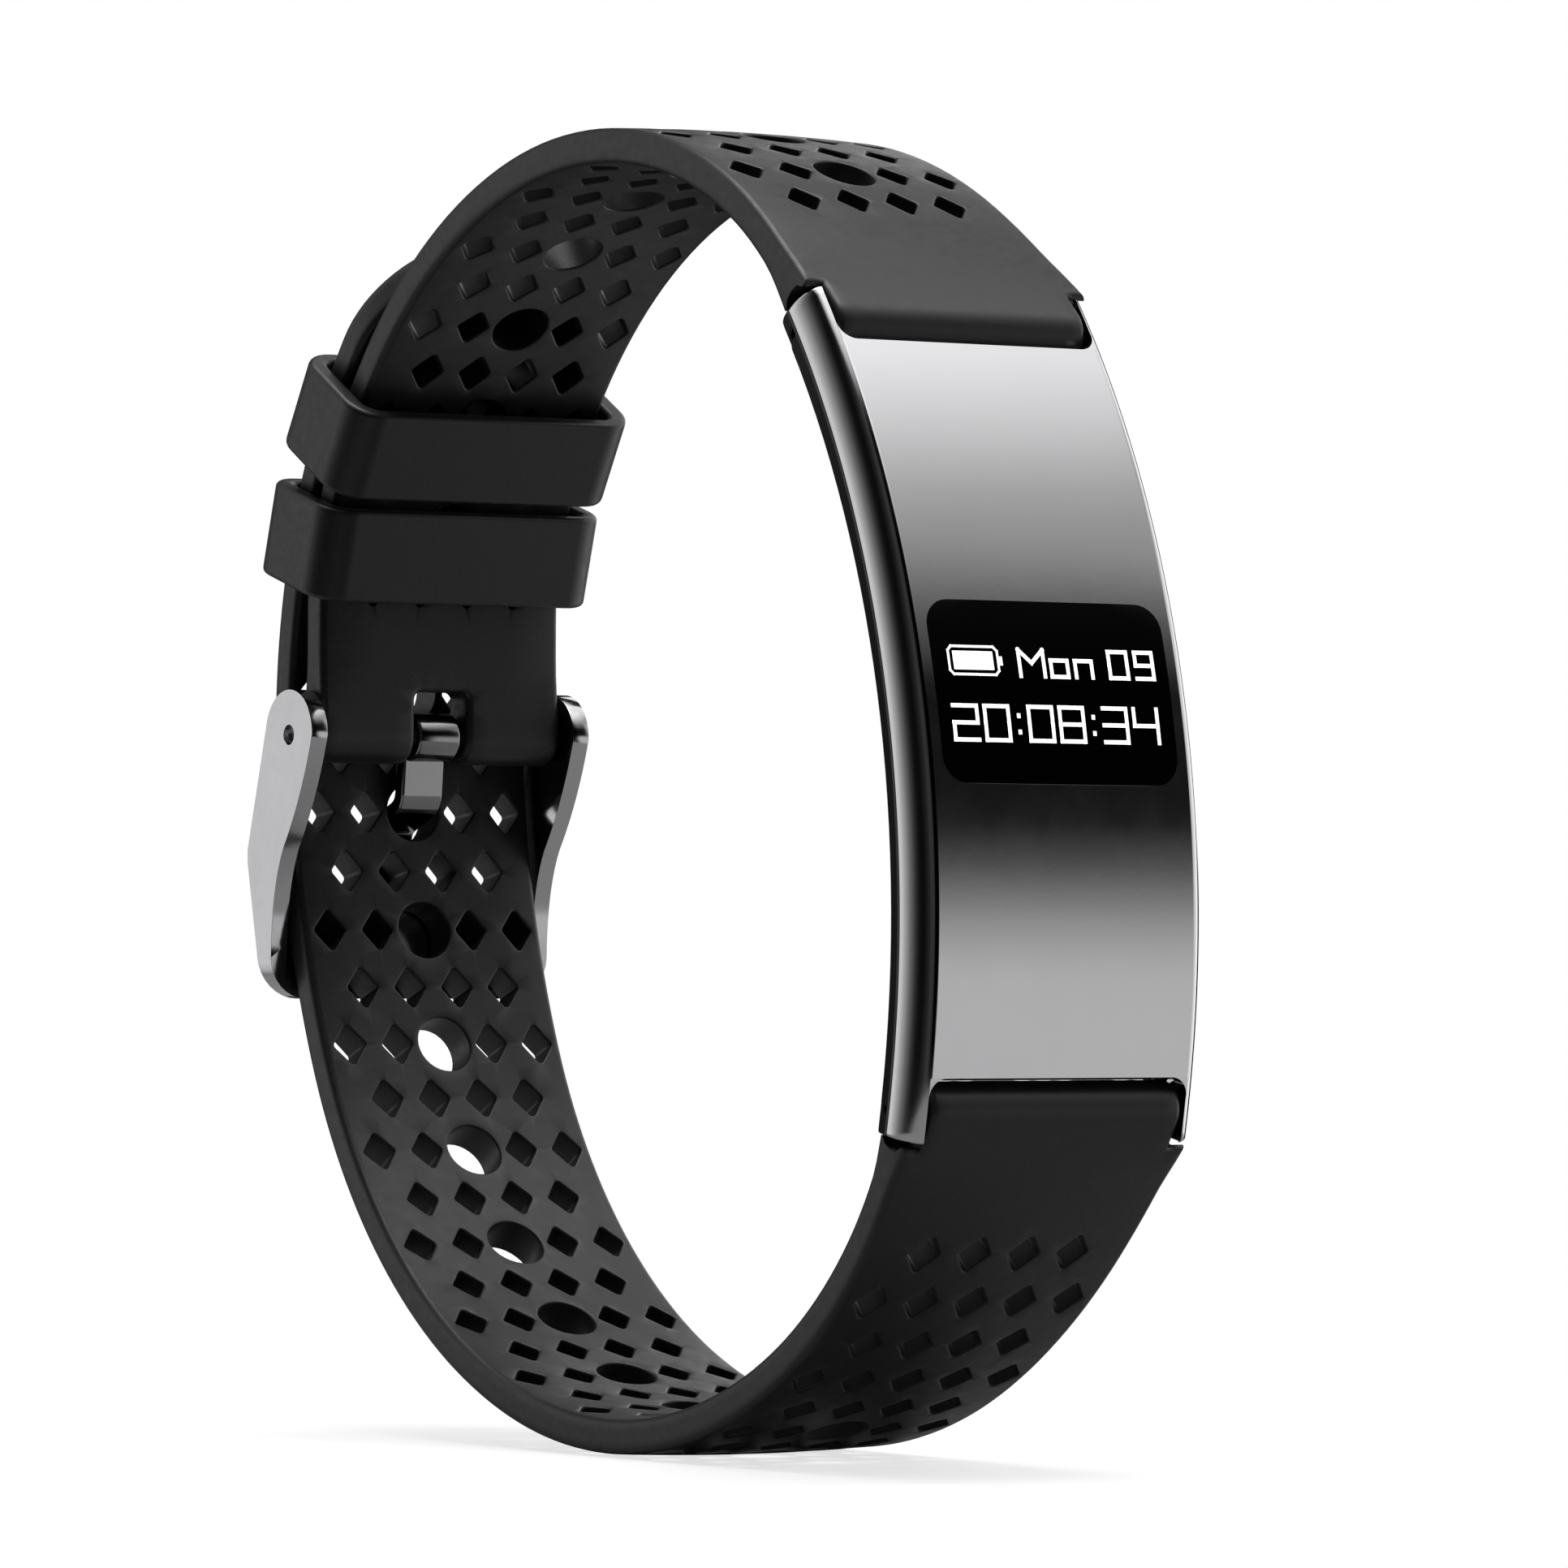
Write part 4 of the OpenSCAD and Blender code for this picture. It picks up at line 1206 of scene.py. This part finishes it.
def level(value, stops):
    """Grey that follows (value, level) stops; the ramp holds half of each level."""
    lo, hi = stops[0][0], stops[-1][0]
    ramp = wt.nodes.new("ShaderNodeValToRGB")
    wt.links.new(map_range(wt, value, lo, hi), ramp.inputs["Fac"])
    els = ramp.color_ramp.elements
    els.remove(els[1])
    for i, (q, v) in enumerate(stops):
        t = (q - lo) / (hi - lo)
        e = els[0] if i == 0 else els.new(t)
        e.position = t
        e.color = (v / 2, v / 2, v / 2, 1)
    return ramp.outputs["Color"]


# brightness by height (sine of elevation) where SKY applies, ahead on the right and overhead
SKY = [(-1, 0.15), (-0.45, 0.2), (-0.25, 0.95), (-0.08, 0.92), (0.0, 0.6), (0.03, 0.42), (0.094, 0.136),
       (0.16, 0.012), (0.38, 0.01), (0.46, 0.16), (0.504, 0.28), (0.643, 0.84), (0.735, 1.5), (0.79, 1.9),
       (1, 1.9)]
# brightness elsewhere, by angle from -Y towards -X: dark round the camera, bright at the right and back left
AROUND = [(-180, 0.1), (-165, 0.05), (-146, 0.0), (-107, 0.0), (-98, 2.0), (-75, 1.5), (-48, 0.9),
          (-36, 0.3), (-30, 0.0), (-14, 0.0), (8, 0.0), (18, 0.055), (32, 0.07), (50, 0.03), (72, 0.006),
          (88, 0.01), (96, 0.034), (104, 0.085), (117, 0.29), (131, 0.76), (139, 1.18), (151, 1.18),
          (163, 0.1), (180, 0.1)]
# where SKY takes the place of AROUND, as twice its share: at any height by angle (WINDOW), from HIGH up
# within the angles of WIDE, and at every angle from TOP up
WINDOW = [(-180, 0), (-50, 0), (-43, 2), (-30, 2), (-23, 0), (180, 0)]
HIGH = [(-1, 0), (0.45, 0), (0.6, 2), (1, 2)]
WIDE = [(-180, 0), (-80, 0), (-68, 2), (-36, 2), (-24, 0), (180, 0)]
TOP = [(-1, 0), (0.82, 0), (0.92, 2), (1, 2)]
flip = wt.nodes.new("ShaderNodeVectorMath")
flip.operation = "MULTIPLY"
flip.inputs[1].default_value = (-1, -1, 1)
wt.links.new(wt.nodes.new("ShaderNodeTexCoord").outputs["Generated"], flip.inputs[0])
sep = wt.nodes.new("ShaderNodeSeparateXYZ")
wt.links.new(flip.outputs[0], sep.inputs[0])
azimuth = wt.nodes.new("ShaderNodeMath")
azimuth.operation = "DEGREES"
wt.links.new(math_node("ARCTAN2", sep.outputs["X"], sep.outputs["Y"]), azimuth.inputs[0])
angle, height = azimuth.outputs[0], sep.outputs["Z"]
above = math_node("MINIMUM", level(height, HIGH), level(angle, WIDE))
above = math_node("MAXIMUM", above, level(height, TOP))
share = math_node("MAXIMUM", above, level(angle, WINDOW))
blend = mix_colors(wt, share, level(angle, AROUND), level(height, SKY))
# the camera sees plain white; strength 2 makes up for the ramps' half levels
path_node = wt.nodes.new("ShaderNodeLightPath")
bg_env = wt.nodes.new("ShaderNodeBackground")
bg_env.inputs["Strength"].default_value = 2.0
bg_cam = wt.nodes.new("ShaderNodeBackground")
bg_cam.inputs["Color"].default_value = (1, 1, 1, 1)
wt.links.new(blend, bg_env.inputs["Color"])
mix = wt.nodes.new("ShaderNodeMixShader")
wt.links.new(path_node.outputs["Is Camera Ray"], mix.inputs[0])
wt.links.new(bg_env.outputs[0], mix.inputs[1])
wt.links.new(bg_cam.outputs[0], mix.inputs[2])
out = wt.nodes.new("ShaderNodeOutputWorld")
wt.links.new(mix.outputs[0], out.inputs["Surface"])


def area(name, pos, size, size_y, power):
    """Area light aimed at the origin; metres and watts."""
    data = bpy.data.lights.new(name, "AREA")
    data.shape = "RECTANGLE"
    data.size, data.size_y, data.energy = size, size_y, power
    ob = add_object(name, data)
    ob.location = pos
    ob.rotation_euler = (-Vector(pos)).to_track_quat("-Z", "Y").to_euler()


area("overhead", (0.02, 0.0, 0.5), 0.35, 0.35, 1.8)
area("right_back", (0.45, 0.35, 0.2), 0.3, 0.4, 0.6)

scene = bpy.context.scene
scene.view_settings.view_transform = "Standard"
scene.view_settings.look = "None"
scene.view_settings.exposure = 0
scene.view_settings.gamma = 1

bpy.context.view_layer.update()
